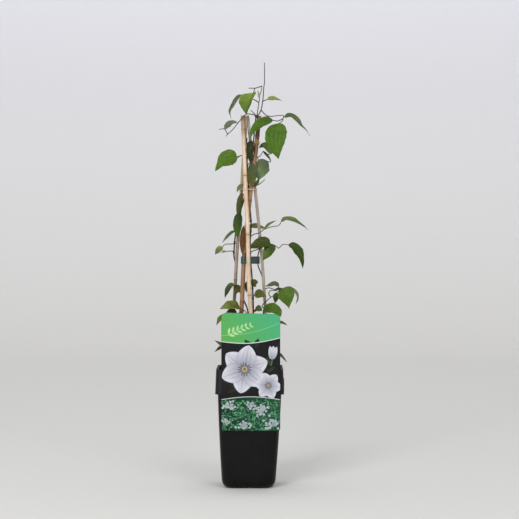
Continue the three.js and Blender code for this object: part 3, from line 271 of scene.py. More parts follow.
RIGHT_PETIOLES = [
    [(25.4, 14.4, 312.4), (22.4, 11, 315.4), (24, 5, 319.9), (29, 2.4, 324.4), (37.5, -1, 332.1),
     (43, -4, 335.4), (50.5, -7, 342.4), (60.2, -8.8, 348.8)],
    [(37.5, -1, 332.1), (34, -2, 339.4), (38, -4, 344.4), (48, -5.2, 344.4), (52, -6, 352)],
    [(50.5, -7, 342.4), (62, -4, 347.4), (75.6, -9, 348.8)],
    [(43, -4, 335.4), (46.8, -5.8, 340)],
    [(24, 11.6, 292.4), (23, 2, 298.4), (24, -8, 302.4), (24, -20, 307.4), (24.6, -26.4, 310.6)],
    [(21.4, 10.2, 268.4), (30, 2, 279.4), (40, -8, 283.4), (47, -12.4, 285.6)],
    [(18.8, 10.4, 224.4), (28, 2, 232.4), (43, -6.4, 234.4)],
    [(25.2, 17.4, 345.4), (34, 20, 348.4), (44.6, 23.2, 345.4)],
    [(18.8, 16.6, 421.4), (20.6, 18.6, 425.4), (22.6, 20.4, 426.4)],
    [(19.4, 10.4, 240.4), (19, 20, 248.4), (26.4, 35, 252.4)],
]
RIGHT_LEAVES = [
    ([(52, -6, 351.8), (45, -7, 356), (37, -7, 354.2), (28, -7, 351.4)], 9, (0.1, -0.85, 0.5), 24, "slate"),
    ([(60, -8.9, 349.2), (63.4, -11, 340), (66.8, -13, 327), (70, -14, 312)],
     32, (0.1, -1, 0.15), 10, "rich", 1.5, 0.15),
    ([(75, -8.6, 348.8), (81, -9, 341), (84.4, -9, 331.4), (81.6, -9, 320.4)],
     9, (0.85, -0.5, 0.1), 22, "mist"),
    ([(46.8, -5.6, 340.2), (47, -7.6, 332.4), (45, -9, 321.4)], 11, (-0.3, -0.95, 0.1), 18, "dark>deep"),
    ([(24, -26, 310.4), (35, -31, 313.4), (47, -35, 310), (55, -37, 299.4)],
     22, (0.1, -0.8, 0.6), 12, "mid>rich", 0.8),
    ([(46, -12, 285.4), (56, -14, 287.4), (66.7, -16, 283.4)], 9, (0, -0.5, 0.87), 18, "meadow"),
    ([(42, -6, 234.4), (54, -8, 229.4), (66, -8, 217.9)], 11, (0.3, -0.4, 0.87), 18, "drab"),
    ([(44, 23, 345.4), (56, 29, 343.4), (63, 33, 333.4)], 16, (0.2, 0.4, 0.9), 14, "mid"),
    ([(22, 20, 426.4), (30, 26, 425.4), (37, 31, 415.4)], 14, (0.3, 0.4, 0.87), 14, "dark"),
    ([(26, 34, 252.4), (30, 46, 246.4), (33, 56, 232.4)], 22, (0.2, 0.4, 0.9), 14, "mid"),
]
# The young bud in the fork of the main shoot's tip: bottom, top and radius
BUD = ([(17.6, -2.2, 684.4), (14.6, -4, 699.4)], 1.9)

# Each leaf colour, and how far brown patches have spread in it. "mid>fresh" runs from base to tip.
LEAF_COLOURS = {
    "sun": (0x6E8434, 0),
    "lime": (0x74803F, 0.1),
    "fresh": (0x3C600A, 0),
    "rich": (0x425E16, 0),
    "mid": (0x2D4B0A, 0),
    "meadow": (0x4A5E23, 0),
    "moss": (0x3E4F26, 0),
    "sage": (0x5F7943, 0),
    "pale": (0x586740, 0.1),
    "drab": (0x586249, 0.2),
    "ash": (0x586052, 0),
    "slate": (0x424C3F, 0),
    "mist": (0x6C745A, 0.1),
    "teal": (0x333D2C, 0),
    "dusk": (0x3C4A26, 0),
    "dark": (0x273A10, 0),
    # Painted shade: shade and deep are near black greens for leaves lying in shadow among the others
    "shade": (0x131D0A, 0),
    "deep": (0x132309, 0),
    "rust": (0x38380F, 0.35),
    "olive": (0x464A1C, 0.25),
    "hay": (0x6A6C4A, 0.2),
    "bronze": (0x4F5E10, 0.35),
    "golden": (0x626D34, 0.1),
    "dried": (0x413605, 1),
}


def linear(code):
    """An sRGB hex colour as the linear values that a shader takes."""
    shares = [(code >> shift & 255) / 255 for shift in (16, 8, 0)]
    return (*[c / 12.92 if c < 0.04045 else ((c + 0.055) / 1.055) ** 2.4 for c in shares], 1)


class Route:
    """A smooth line through points in millimetres, read by the share of its length."""

    fineness = 16

    def __init__(self, points):
        spots = [Vector(point) for point in points]
        spots.insert(0, 2 * spots[0] - spots[1])
        spots.append(2 * spots[-1] - spots[-2])
        self.line = []
        for before, start, end, after in zip(spots, spots[1:], spots[2:], spots[3:]):
            self.line += self.span(before, start, end, after)
        self.line.append(spots[-2])
        self.reach = [0]
        for here, there in zip(self.line, self.line[1:]):
            self.reach.append(self.reach[-1] + (there - here).length)
        self.length = self.reach[-1]

    def span(self, before, start, end, after):
        first, middle, last = (max(1e-4, (b - a).length) ** 0.5
                               for a, b in ((before, start), (start, end), (end, after)))
        leave = (start - before) / first - (end - before) / (first + middle) + (end - start) / middle
        arrive = (end - start) / middle - (after - start) / (middle + last) + (after - end) / last
        leave *= middle
        arrive *= middle
        points = []
        for i in range(self.fineness):
            t = i / self.fineness
            bend = (2 * t ** 3 - 3 * t ** 2 + 1) * start + (3 * t ** 2 - 2 * t ** 3) * end
            points.append(bend + (t ** 3 - 2 * t ** 2 + t) * leave + (t ** 3 - t ** 2) * arrive)
        return points

    def at(self, share):
        distance = min(1, max(0, share)) * self.length
        i = min(len(self.line) - 2, max(0, bisect.bisect(self.reach, distance) - 1))
        part = (distance - self.reach[i]) / max(1e-9, self.reach[i + 1] - self.reach[i])
        return self.line[i].lerp(self.line[i + 1], part)

    def heading(self, share):
        return (self.at(share + 0.004) - self.at(share - 0.004)).normalized()

    def at_height(self, height):
        low, high = 0, 1
        for _ in range(30):
            half = (low + high) / 2
            low, high = (half, high) if self.at(half).z < height else (low, half)
        return self.at(low)

    def nearest(self, spot):
        steps = int(self.length / 2)
        return min((i / steps for i in range(steps + 1)), key=lambda share: (self.at(share) - spot).length)


# Meshes: every piece starts as a grid, and its corners are moved row by row to where they belong


GRIDS = {}


def grid_form(name, rows, marks=None):
    """A copy of a grid with the table's rows and columns, its corners moved there; marks are point values."""
    shape = (len(rows[0]) - 1, len(rows) - 1)
    if shape not in GRIDS:
        bpy.ops.object.select_all(action="DESELECT")
        bpy.ops.mesh.primitive_grid_add(x_subdivisions=shape[0], y_subdivisions=shape[1], size=1)
        first = bpy.context.object
        GRIDS[shape] = first.data
        bpy.data.objects.remove(first)
    piece = bpy.data.objects.new(name, GRIDS[shape].copy())
    piece.data.name = name
    bpy.context.scene.collection.objects.link(piece)
    places = [value * MM for row in rows for point in row for value in point]
    piece.data.vertices.foreach_set("co", places)
    for mark, table in (marks or {}).items():
        values = [value for row in table for value in row]
        if isinstance(values[0], tuple):
            layer = piece.data.attributes.new(mark, "FLOAT_COLOR", "POINT")
            layer.data.foreach_set("color", [part for value in values for part in value])
        else:
            layer = piece.data.attributes.new(mark, "FLOAT", "POINT")
            layer.data.foreach_set("value", values)
    return piece


def only(piece):
    bpy.ops.object.select_all(action="DESELECT")
    piece.select_set(True)
    bpy.context.view_layer.objects.active = piece


def weld(piece, outward=True):
    """Merges seams and poles, then turns every face outwards."""
    only(piece)
    bpy.ops.object.mode_set(mode="EDIT")
    bpy.ops.mesh.select_all(action="SELECT")
    bpy.ops.mesh.remove_doubles(threshold=0.002 * MM)
    bpy.ops.mesh.dissolve_degenerate(threshold=0.001 * MM)
    if outward:
        bpy.ops.mesh.normals_make_consistent(inside=False)
    bpy.ops.object.mode_set(mode="OBJECT")
    return piece


def smooth(piece, degrees=40):
    only(piece)
    bpy.ops.object.shade_smooth_by_angle(angle=math.radians(degrees))
    return piece


def apply_modifier(piece, kind, **settings):
    only(piece)
    modifier = piece.modifiers.new(kind.title(), kind)
    for key, value in settings.items():
        setattr(modifier, key, value)
    bpy.ops.object.modifier_apply(modifier=modifier.name)
    return piece


def skin(name, rings, marks=None, looped=False):
    """A closed skin through rings of points: a pole at each end, or the last ring joined to the first."""
    rows = [[*ring, ring[0]] for ring in rings]
    tables = {mark: [[*values, values[0]] for values in table] for mark, table in (marks or {}).items()}
    if looped:
        rows.append(rows[0])
        for table in tables.values():
            table.append(table[0])
    else:
        for end, row in ((0, rows[0]), (len(rows) + 1, rows[-1])):
            middle = sum((Vector(point) for point in row[:-1]), Vector()) / (len(row) - 1)
            rows.insert(end, [middle] * len(row))
        for table in tables.values():
            table.insert(0, table[0])
            table.append(table[-1])
    return weld(grid_form(name, rows, tables))


def join(name, pieces):
    only(pieces[0])
    for piece in pieces:
        piece.select_set(True)
    if len(pieces) > 1:
        bpy.ops.object.join()
    whole = bpy.context.object
    whole.name = name
    whole.data.name = name
    return whole


def rings_along(route, stations, sides, phase=0.5):
    """Round rings square to a route. A station is (share, radius) or (share, radius, push along, lobes)."""
    side = Vector((0, 1, 0)) if abs(route.heading(0).x) > 0.8 else Vector((1, 0, 0))
    rings = []
    for share, radius, *more in stations:
        push, lobes = more or (0, 0)
        heading = route.heading(share)
        side = (side - heading * side.dot(heading)).normalized()
        up = heading.cross(side)
        centre = route.at(share) + heading * push
        ring = []
        for i in range(sides):
            turn = (i + phase) / sides * math.tau
            reach = radius * (1 + lobes * math.cos(6 * turn))
            ring.append(centre + side * reach * math.cos(turn) + up * reach * math.sin(turn))
        rings.append(ring)
    return rings


def even(count):
    return [i / count for i in range(count + 1)]


def turns(count):
    return [i / count * math.tau for i in range(count)]


def oval(centre, wide, thin, count):
    """Points round an oval between two half axes."""
    return [centre + wide * math.cos(t) + thin * math.sin(t) for t in turns(count)]


def rounded_square(half, corner, middle=0, steps=8):
    points = []
    for quarter, (across, deep) in enumerate(((1, 1), (-1, 1), (-1, -1), (1, -1))):
        for i in range(steps + 1):
            turn = (quarter + i / steps) * math.pi / 2
            x = across * (half - corner) + corner * math.cos(turn)
            y = deep * (half - corner) + corner * math.sin(turn)
            points.append((middle + x, y))
    return points


def level(z, half, corner, middle=0, steps=8):
    return [(x, y, z) for x, y in rounded_square(half, corner, middle, steps)]


def hull_round(circles, offset, steps=24):
    """The convex line round circles in plan, counter-clockwise, as a cord pulled tight would lie."""
    cloud = []
    for x, y, radius in circles:
        reach = radius + offset
        for t in turns(steps):
            cloud.append((round(x + reach * math.cos(t), 6), round(y + reach * math.sin(t), 6)))
    cloud.sort()
    line = []
    for points in (cloud, cloud[::-1]):
        chain = []
        for point in points:
            while len(chain) > 1:
                (ax, ay), (bx, by) = chain[-2:]
                if (bx - ax) * (point[1] - ay) - (by - ay) * (point[0] - ax) > 0:
                    break
                chain.pop()
            chain.append(point)
        line += chain[:-1]
    return line


def settle(piece, coats, node=None):
    """Gives a finished piece its materials, the one body and the node that it stands for."""
    for coat in coats:
        piece.data.materials.append(coat)
    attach(piece, "root")
    if node:
        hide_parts(node)


# Materials


def material(name):
    """A fresh material and a function that adds a node with its settings and links.

    The function gives back the output asked for, or the first. A shader goes straight to the surface.
    """
    made = bpy.data.materials.new(name)
    made.use_nodes = True
    tree = made.node_tree
    tree.nodes.clear()
    end = tree.nodes.new("ShaderNodeOutputMaterial")

    def add(kind, settings=None, out=0, **links):
        node = tree.nodes.new("ShaderNode" + kind)
        for key, value in (settings or {}).items():
            if key == "stops":
                elements = node.color_ramp.elements
                for _ in value[2:]:
                    elements.new(1)
                for element, (position, colour) in zip(elements, value):
                    element.position = position
                    element.color = linear(colour)
            elif isinstance(key, str) and hasattr(node, key):
                setattr(node, key, value)
            else:
                node.inputs[key].default_value = value
        for key, source in links.items():
            socket = int(key[1:]) if key[1:].isdigit() else key.replace("_", " ")
            tree.links.new(source, node.inputs[socket])
        if kind == "BsdfPrincipled":
            tree.links.new(node.outputs[0], end.inputs["Surface"])
        return node.outputs[out]

    return made, add


def moulded_polypropylene():
    """Recycled black polypropylene, blow moulded: near black, half gloss, fine grain, dusty scuffs."""
    made, add = material("recycled_polypropylene_moulded")
    place = add("TexCoord", out="Object")
    scuff = add("TexNoise", {"Scale": 60, "Detail": 6, "Roughness": 0.65}, Vector=place)
    flow = add("Mapping", {"Scale": (220, 220, 9)}, Vector=place)
    streak = add("TexNoise", {"Scale": 1, "Detail": 3}, Vector=flow)
    colour = add("ValToRGB", {"stops": [(0.35, 0x0A0A0B), (0.62, 0x0F0F10), (0.8, 0x1B1A19)]}, Fac=scuff)
    gloss = add("MapRange", {"From Min": 0.3, "From Max": 0.7, "To Min": 0.34, "To Max": 0.5}, Value=streak)
    grain = add("TexNoise", {"Scale": 1400, "Detail": 2}, Vector=place)
    bump = add("Bump", {"Strength": 0.12, "Distance": 0.0003}, Height=grain)
    settings = {"IOR": 1.49, "Specular IOR Level": 0.14}
    add("BsdfPrincipled", settings, Base_Color=colour, Roughness=gloss, Normal=bump)
    return made


def potting_peat():
    """Peat potting soil, crumbled and damp: matt dark brown with fibres and a few pale grains."""
    made, add = material("peat_crumbled")
    place = add("TexCoord", out="Object")
    crumb = add("TexNoise", {"Scale": 420, "Detail": 8, "Roughness": 0.7}, Vector=place)
    colour = add("ValToRGB", {"stops": [(0.3, 0x1E150F), (0.5, 0x3A2A1E), (0.75, 0x5C4632)]}, Fac=crumb)
    bump = add("Bump", {"Strength": 0.7, "Distance": 0.0012}, Height=crumb)
    add("BsdfPrincipled", {"Roughness": 0.95, "Specular IOR Level": 0.2}, Base_Color=colour, Normal=bump)
    return made


def bamboo(name, light, middle, dark, scar_and_shade_colour):
    """A dried bamboo cane, waxy outside: long fibre streaks, grey specks, darker node scars, stains and
    painted shade.
    """
    made, add = material(name)
    place = add("TexCoord", out="Object")
    # Fibre bundles are about 0.5 mm wide and run the length of a cane
    along = add("Mapping", {"Scale": (1500, 1500, 14)}, Vector=place)
    fibre = add("TexNoise", {"Scale": 1, "Detail": 4, "Roughness": 0.6}, Vector=along)
    cloud = add("TexNoise", {"Scale": 26, "Detail": 3}, Vector=place)
    both = add("Math", {"operation": "ADD"}, _0=fibre, _1=cloud)
    half = add("Math", {"operation": "MULTIPLY", 1: 0.5}, _0=both)
    colour = add("ValToRGB", {"stops": [(0.36, dark), (0.5, middle), (0.64, light)]}, Fac=half)
    # One mark darkens the node scars, the stains and the painted shade under the leaves
    scar = add("Attribute", {"attribute_name": "node_scar"}, "Fac")
    scarred_and_shaded = add("Mix", {"data_type": "RGBA", 7: linear(scar_and_shade_colour)}, 2, _0=scar, _6=colour)
    bump = add("Bump", {"Strength": 0.35, "Distance": 0.0003}, Height=fibre)
    add("BsdfPrincipled", {"Roughness": 0.48, "IOR": 1.5}, Base_Color=scarred_and_shaded, Normal=bump)
    return made


def spun_fibre(name, light, dark, roughness=0.85):
    """Plant fibre, spun or split: matt, with fine streaks along the strand."""
    made, add = material(name)
    along = add("Mapping", {"Scale": (6, 60, 1)}, Vector=add("TexCoord", out="UV"))
    streak = add("TexNoise", {"Scale": 1, "Detail": 4}, Vector=along)
    colour = add("ValToRGB", {"stops": [(0.3, dark), (0.7, light)]}, Fac=streak)
    bump = add("Bump", {"Strength": 0.5, "Distance": 0.0003}, Height=streak)
    add("BsdfPrincipled", {"Roughness": roughness}, Base_Color=colour, Normal=bump)
    return made


def garden_tape():
    """Soft PVC plant tape, stretched: dark blue green with a dull sheen and faint stretch lines."""
    made, add = material("soft_pvc_tape_stretched")
    across = add("Mapping", {"Scale": (60, 60, 900)}, Vector=add("TexCoord", out="Object"))
    lines = add("TexNoise", {"Scale": 1, "Detail": 3}, Vector=across)
    colour = add("ValToRGB", {"stops": [(0.3, 0x1B3230), (0.7, 0x2C4A48)]}, Fac=lines)
    bump = add("Bump", {"Strength": 0.25, "Distance": 0.0003}, Height=lines)
    add("BsdfPrincipled", {"Roughness": 0.42, "IOR": 1.53}, Base_Color=colour, Normal=bump)
    return made


def coated_card(name, face, roughness=0.3):
    """Coated card, offset printed: smooth, lightly glossy ink over a very faint paper grain."""
    made, add = material(name)
    grain = add("TexNoise", {"Scale": 900, "Detail": 3}, Vector=add("TexCoord", out="Object"))
    if face is None:
        ink = add("Attribute", {"attribute_name": "ink"})
    else:
        ink = add("ValToRGB", {"stops": [(0.3, face[0]), (0.7, face[1])]}, Fac=grain)
    bump = add("Bump", {"Strength": 0.05, "Distance": 0.0002}, Height=grain)
    settings = {"Roughness": roughness, "IOR": 1.5, "Specular IOR Level": 0.2}
    add("BsdfPrincipled", settings, Base_Color=ink, Normal=bump)
    return made


def clematis_blade(name, underside):
    """A living leaf: soft waxy sheen, sunken arching veins with a fine net, blotched green, brown patches."""
    made, add = material(name)
    flat = add("TexCoord", out="UV")
    across = add("MapRange", {"To Min": -1, "To Max": 1}, Value=add("SeparateXYZ", Vector=flat))
    # Veins leave the base together and arch to the tip at even shares of the half width
    aside = add("Math", {"operation": "ABSOLUTE"}, _0=across)
    beside = add("Math", {"operation": "PINGPONG", 1: 0.19}, _0=aside)
    vein = add("MapRange", {"From Min": 0.008, "From Max": 0.03, "To Min": 1, "To Max": 0,
                            "interpolation_type": "SMOOTHSTEP"}, Value=beside)
    # Net cells are about 2 mm across on a blade of 20 by 40 mm
    cells = add("Mapping", {"Scale": (10, 18, 1)}, Vector=flat)
    net = add("TexVoronoi", {"feature": "DISTANCE_TO_EDGE", "Scale": 1}, Vector=cells)
    thread = add("MapRange", {"From Min": 0, "From Max": 0.09, "To Min": 0.45, "To Max": 0}, Value=net)
    lines = add("Math", {"operation": "MAXIMUM"}, _0=vein, _1=thread)
    place = add("TexCoord", out="Object")
    blotch = add("TexNoise", {"Scale": 110, "Detail": 4, "Roughness": 0.6}, Vector=place)
    shade = add("MapRange", {"From Min": 0.3, "From Max": 0.7, "To Min": 0.72, "To Max": 1.2}, Value=blotch)
    tint = add("Attribute", {"attribute_name": "leaf_colour"})
    if underside:
        tint = add("Mix", {"data_type": "RGBA", 0: 0.3, 7: linear(0x7E8C6E)}, 2, _6=tint)
    blotched = add("VectorMath", {"operation": "SCALE"}, _0=tint, Scale=shade)
    light = add("Math", {"operation": "MULTIPLY", 1: 0.3}, _0=lines)
    veined = add("Mix", {"data_type": "RGBA", 7: linear(0x87964A)}, 2, _0=light, _6=blotched)
    # Patches of 5 to 10 mm dry to brown, more on the older leaves
    patch = add("TexNoise", {"Scale": 90, "Detail": 3}, Vector=place)
    age = add("Attribute", {"attribute_name": "leaf_age"}, "Fac")
    spread = add("Math", {"operation": "MULTIPLY_ADD", 1: 0.4}, _0=age, _2=patch)
    dried = add("MapRange", {"From Min": 0.66, "From Max": 0.82, "To Min": 0, "To Max": 0.8}, Value=spread)
    aged = add("Mix", {"data_type": "RGBA", 7: linear(0x5A3A1C)}, 2, _0=dried, _6=veined)
    bump = add("Bump", {"Strength": 0.5 if underside else -0.5, "Distance": 0.0004}, Height=lines)
    settings = {"Roughness": 0.62 if underside else 0.5, "IOR": 1.45, "Specular IOR Level": 0.14}
    add("BsdfPrincipled", settings, Base_Color=aged, Normal=bump)
    return made


def clematis_stem():
    """A young ribbed clematis stem: purple brown where it has ripened, green brown at the tips."""
    made, add = material("clematis_stem_ripening")
    ripe = add("Attribute", {"attribute_name": "ripeness"}, "Fac")
    fleck = add("TexNoise", {"Scale": 500, "Detail": 4}, Vector=add("TexCoord", out="Object"))
    mixed = add("Math", {"operation": "MULTIPLY_ADD", 1: 0.35}, _0=fleck, _2=ripe)
    stops = [(0.02, 0xB2B68C), (0.2, 0x5E7434), (0.5, 0x423C26), (0.8, 0x2E211A), (1, 0x241A17)]
    colour = add("ValToRGB", {"stops": stops}, Fac=mixed)
    bump = add("Bump", {"Strength": 0.4, "Distance": 0.0003}, Height=fleck)
    add("BsdfPrincipled", {"Roughness": 0.55, "IOR": 1.45}, Base_Color=colour, Normal=bump)
    return made


def studio_paper():
    """Seamless studio paper: plain, pale and matt, with painted light that makes it a little cooler and
    lighter higher up.
    """
    made, add = material("studio_paper")
    height = add("SeparateXYZ", None, "Z", Vector=add("TexCoord", out="Object"))
    rise = add("MapRange", {"From Min": 0.1, "From Max": 1.6}, Value=height)
    # Painted light: the paper brightens and cools with height
    colour = add("ValToRGB", {"stops": [(0, 0xD5D4D0), (1, 0xE3E3E8)]}, Fac=rise)
    add("BsdfPrincipled", {"Roughness": 0.9, "Specular IOR Level": 0.1}, Base_Color=colour)
    return made


# Camera, stage and light

CAMERA_PLACE = (0.0177, -2.6, 0.399)
CAMERA_LENS = 101.9
# Name, place, size in metres and power in watts of each lamp, then its target where that isn't the plant
LAMPS = [
    ("window_front_left", (-1.3, -3.4, 2.3), 1.4, 88),
    ("window_front_right", (1.5, -3.2, 3.0), 1.5, 42),
    ("low_box_left", (-0.5, -2.8, 0.78), 0.55, 6),
    ("back_wash", (0, 1.2, 5.5), 3, 110, (0, 4.4, 2.6)),
]
ROOM_COLOUR = (0.93, 0.95, 1, 1)
ROOM_STRENGTH = 0.42


def set_camera():
    lens = bpy.data.cameras.new("camera")
    lens.lens = CAMERA_LENS
    lens.sensor_width = 36
    camera = bpy.data.objects.new("camera", lens)
    camera.location = CAMERA_PLACE
    camera.rotation_euler = (math.pi / 2, 0, 0)
    bpy.context.scene.collection.objects.link(camera)
    bpy.context.scene.camera = camera


def area_light(name, place, size, power, target=(0, 0, 0.35)):
    lamp = bpy.data.lights.new(name, "AREA")
    lamp.size = size
    lamp.energy = power
    light = bpy.data.objects.new(name, lamp)
    light.location = place
    aim = Vector(target) - Vector(place)
    light.rotation_euler = aim.to_track_quat("-Z", "Y").to_euler()
    bpy.context.scene.collection.objects.link(light)


def set_stage():
    """A floor that rises all round in one sweep, far enough out for any view, and soft light from above."""
    floor_reach = 3.1
    sweep = 1.3
    wall_top = 3.2
    profile = [(0.001, 0), (0.6, 0), (1.8, 0), (floor_reach, 0)]
    for share in even(12)[1:]:
        turn = share * math.pi / 2
        profile.append((floor_reach + sweep * math.sin(turn), sweep * (1 - math.cos(turn))))
    profile.append((floor_reach + sweep, wall_top))
    rows = []
    for reach, height in profile:
        rows.append([(reach / MM * math.cos(share * math.tau), reach / MM * math.sin(share * math.tau),
                      height / MM) for share in even(64)])
    bowl = weld(grid_form("studio_sweep", [row[::-1] for row in rows]), outward=False)
    smooth(bowl, 60)
    bowl.data.materials.append(studio_paper())
    for lamp in LAMPS:
        area_light(*lamp)
    world = bpy.data.worlds.new("soft_room")
    world.use_nodes = True
    background = world.node_tree.nodes["Background"]
    background.inputs["Color"].default_value = ROOM_COLOUR
    background.inputs["Strength"].default_value = ROOM_STRENGTH
    bpy.context.scene.world = world
    bpy.context.scene.view_settings.view_transform = "Standard"


# Pot and soil

# The wall's half width and corner radius as a line, read by height
WALL_ROUTE = Route([(half, corner, z) for z, half, corner in [POT_FOOT[-1], *POT_WALLS]])


def wall_at(z):
    half, corner, _ = WALL_ROUTE.at_height(z)
    return half, corner


def pot_level(z, half, corner, steps=8):
    """A level ring of the pot, moved with the pot's lean."""
    middle = POT_MIDDLES[0] + (POT_MIDDLES[1] - POT_MIDDLES[0]) * z / POT_TOP
    return level(z, half, corner, middle, steps)


def make_pot():
    """One moulding: rounded foot, bulging walls, rolled lip, thin inside; channels and holes drain it."""
    rings = []
    foot = Route([(half, corner, z) for z, half, corner in POT_FOOT])
    for share in even(14):
        half, corner, z = foot.at(share)
        rings.append(pot_level(z, half, corner))
    foot_z, foot_half, _ = POT_FOOT[-1]
    top_z = POT_WALLS[-1][0]
    for share in even(18)[1:]:
        z = foot_z + share * (top_z - foot_z)
        rings.append(pot_level(z, *wall_at(z)))
    for z, inset in LIP_ROLL:
        rings.append(pot_level(z, LIP_HALF - inset, LIP_CORNER - inset * 0.6))
    for share in even(14):
        z = top_z + share * (foot_z - top_z)
        half, corner = wall_at(z)
        rings.append(pot_level(z, half - POT_WALL, corner - POT_WALL))
    rings += [pot_level(*inside) for inside in POT_INSIDE_FOOT]
    pot = skin("pot_shell", rings)
    past_wall = 2
    reach = foot_half + past_wall - DRAIN_START
    middle = DRAIN_START + reach / 2
    cutters = []
    for across, deep in ((1, 0), (0, 1), (-1, 0), (0, -1)):
        place = ((POT_MIDDLES[0] + across * middle) * MM, deep * middle * MM, 0)
        bpy.ops.mesh.primitive_cube_add(size=1, location=place)
        channel = bpy.context.object
        long, wide = (reach, DRAIN_WIDTH) if across else (DRAIN_WIDTH, reach)
        channel.scale = (long * MM, wide * MM, 2 * DRAIN_HEIGHT * MM)
        offset, radius = DRAIN_HOLE
        place = ((POT_MIDDLES[0] + across * offset) * MM, deep * offset * MM, 0)
        bpy.ops.mesh.primitive_cylinder_add(vertices=24, radius=radius * MM, depth=0.03, location=place)
        cutters += [channel, bpy.context.object]
    for cutter in cutters:
        apply_modifier(pot, "BOOLEAN", operation="DIFFERENCE", solver="EXACT", object=cutter)
    for cutter in cutters:
        bpy.data.objects.remove(cutter)
    smooth(weld(pot, outward=False), 32)
    settle(pot, [moulded_polypropylene()], "pot")


def make_soil():
    """Soil up to a lumpy surface that falls a little to the pot's wall."""
    inset = POT_WALL + SOIL_PLAY
    edge = SOIL_TOP - SOIL_FALL
    fine = 16
    rings = [pot_level(*place, fine) for place in SOIL_FOOT]
    foot_z = POT_FOOT[-1][0]
    for share in even(8):
        z = foot_z + share * (edge - foot_z)
        half, corner = wall_at(z)
        rings.append(pot_level(z, half - inset, corner - inset, fine))
    crown_half = wall_at(edge)[0] - inset
    for share in even(30)[1:-1]:
        half = crown_half * (1 - share)
        ring = []
        for x, y, _ in pot_level(edge, half, min(14, half * 0.6), fine):
            lump = 1.7 * noise.fractal(Vector((x, y, 3)) * 0.11, 0.7, 2.2, 4)
            fall = 2.4 * (1 - share) ** 2
            ring.append((x, y, SOIL_TOP - 1.2 - fall + lump))
        rings.append(ring)
    settle(smooth(skin("potting_soil", rings), 80), [potting_peat()], "soil")


# Canes and ties

# Material, slot and colours of each cane: light, middle, dark, and scar, stain and painted shade
CANE_FINISHES = {
    "cane_front": ("bamboo_dried_pale", "bamboo_pale", 0xDCC8AD, 0xCFB698, 0xB39575, 0x6E5236),
    "cane_front_left": ("bamboo_dried_brown", "bamboo_brown", 0xA27B56, 0x8A6440, 0x654628, 0x3A2614),
    "cane_back_left": ("bamboo_weathered_grey", "bamboo_grey", 0xB8A489, 0x9A8870, 0x746250, 0x503F30),
    "cane_right": ("bamboo_weathered_ash", "bamboo_grey", 0xBDB1A0, 0x9C9182, 0x716658, 0x4C4036),
}
# Darker stretches of the canes, stains and painted shade: height, half length and strength of each
STAINS_AND_SHADE = {
    # Painted shade: the long stretch at the front cane's top, where the leaves shade it
    "cane_front": [(652, 42, 0.7), (604, 5, 0.3), (394, 9, 0.25), (334, 16, 0.2)],
    "cane_front_left": [(407.5, 2.6, 0.9), (640, 60, 0.45), (312, 14, 0.3)],
    "cane_back_left": [(345, 30, 0.35)],
    "cane_right": [(330, 26, 0.3)],
}
# Stations round a node, in millimetres along the cane
NODE_OFFSETS = (-4, -2.4, -1.4, -0.7, -0.3, 0, 0.3, 0.7, 1.4, 2.4, 4)
# The cut top: share of the radius, push along the cane and scar, from the rim into the pith hollow
# The last row's dark value is painted shade on the floor of the pith hollow
CUT_TOP = [(0.97, 0.35, 0.15), (0.86, 0.5, 0.15), (0.42, 0.5, 0.15), (0.36, 0.2, 0.15), (0.33, -2.5, 0.8)]


def make_cane(node):
    """A cane that swells at its nodes, each with a sheath ring and a scar, cut off above the wigwam."""
    radius, points, heights = CANES[node]
    route = Route(points)
    foot, top = points[0][2], points[-1][2]
    chance = random.Random(node)
    scars = [(height - foot) / (top - foot) for height in heights]
    shares = set(even(160))
    for scar in scars:
        shares.update(scar + offset / route.length for offset in NODE_OFFSETS)
    stations = []
    marks = []
    for share in sorted(shares):
        near = min(((share - scar) * route.length for scar in scars), key=abs)
        # A sheath ring half a millimetre high with a groove just above it
        swell = 0.5 * math.exp(-(near / 1.3) ** 2) - 0.28 * math.exp(-((near - 0.15) / 0.3) ** 2)
        body = 1 + 0.02 * noise.noise(Vector((share * 9, radius, 2)))
        stations.append((share, radius * body + swell))
        here = route.at(share).z
        # Stains, painted shade and the scars at the nodes all darken the cane
        stain_and_shade = max(strength * math.exp(-((here - height) / spread) ** 4)
                    for height, spread, strength in STAINS_AND_SHADE[node])
        marks.append(max(stain_and_shade, 0.85 * math.exp(-(near / 0.7) ** 2) + 0.25 * math.exp(-(near / 4) ** 2)))
    for reach, push, mark in CUT_TOP:
        stations.append((1, radius * reach, push, 0))
        marks.append(mark)
    sides = 20
    rag = [[min(1, max(0, mark * chance.uniform(0.7, 1.2))) for _ in range(sides)] for mark in marks]
    cane = skin(node.replace("cane", "bamboo"), rings_along(route, stations, sides), {"node_scar": rag})
    name, slot, *colours = CANE_FINISHES[node]
    settle(smooth(cane, 50), [bamboo(name, *colours)], node)


def twisted(name, line, strands, lay, strand_radius, twist_radius):
    """A closed cord of strands wound round a level line of points."""
    count = len(line)
    spots = [Vector(point) for point in line]
    pieces = []
    for strand in range(strands):
        path = []
        for i, spot in enumerate(spots):
            ahead = (spots[(i + 1) % count] - spots[i - 1]).normalized()
            out = Vector((ahead.y, -ahead.x, 0))
            turn = math.tau * (strand / strands + i * lay / count)
            path.append(spot + out * twist_radius * math.cos(turn)
                        + Vector((0, 0, 1)) * twist_radius * math.sin(turn))
        rings = []
        for i, spot in enumerate(path):
            ahead = (path[(i + 1) % count] - path[i - 1]).normalized()
            out = Vector((ahead.y, -ahead.x, 0)).normalized()
            rings.append(oval(spot, out * strand_radius, out.cross(ahead) * strand_radius, 8))
        pieces.append(skin(name, rings, looped=True))
    return join(name, pieces)


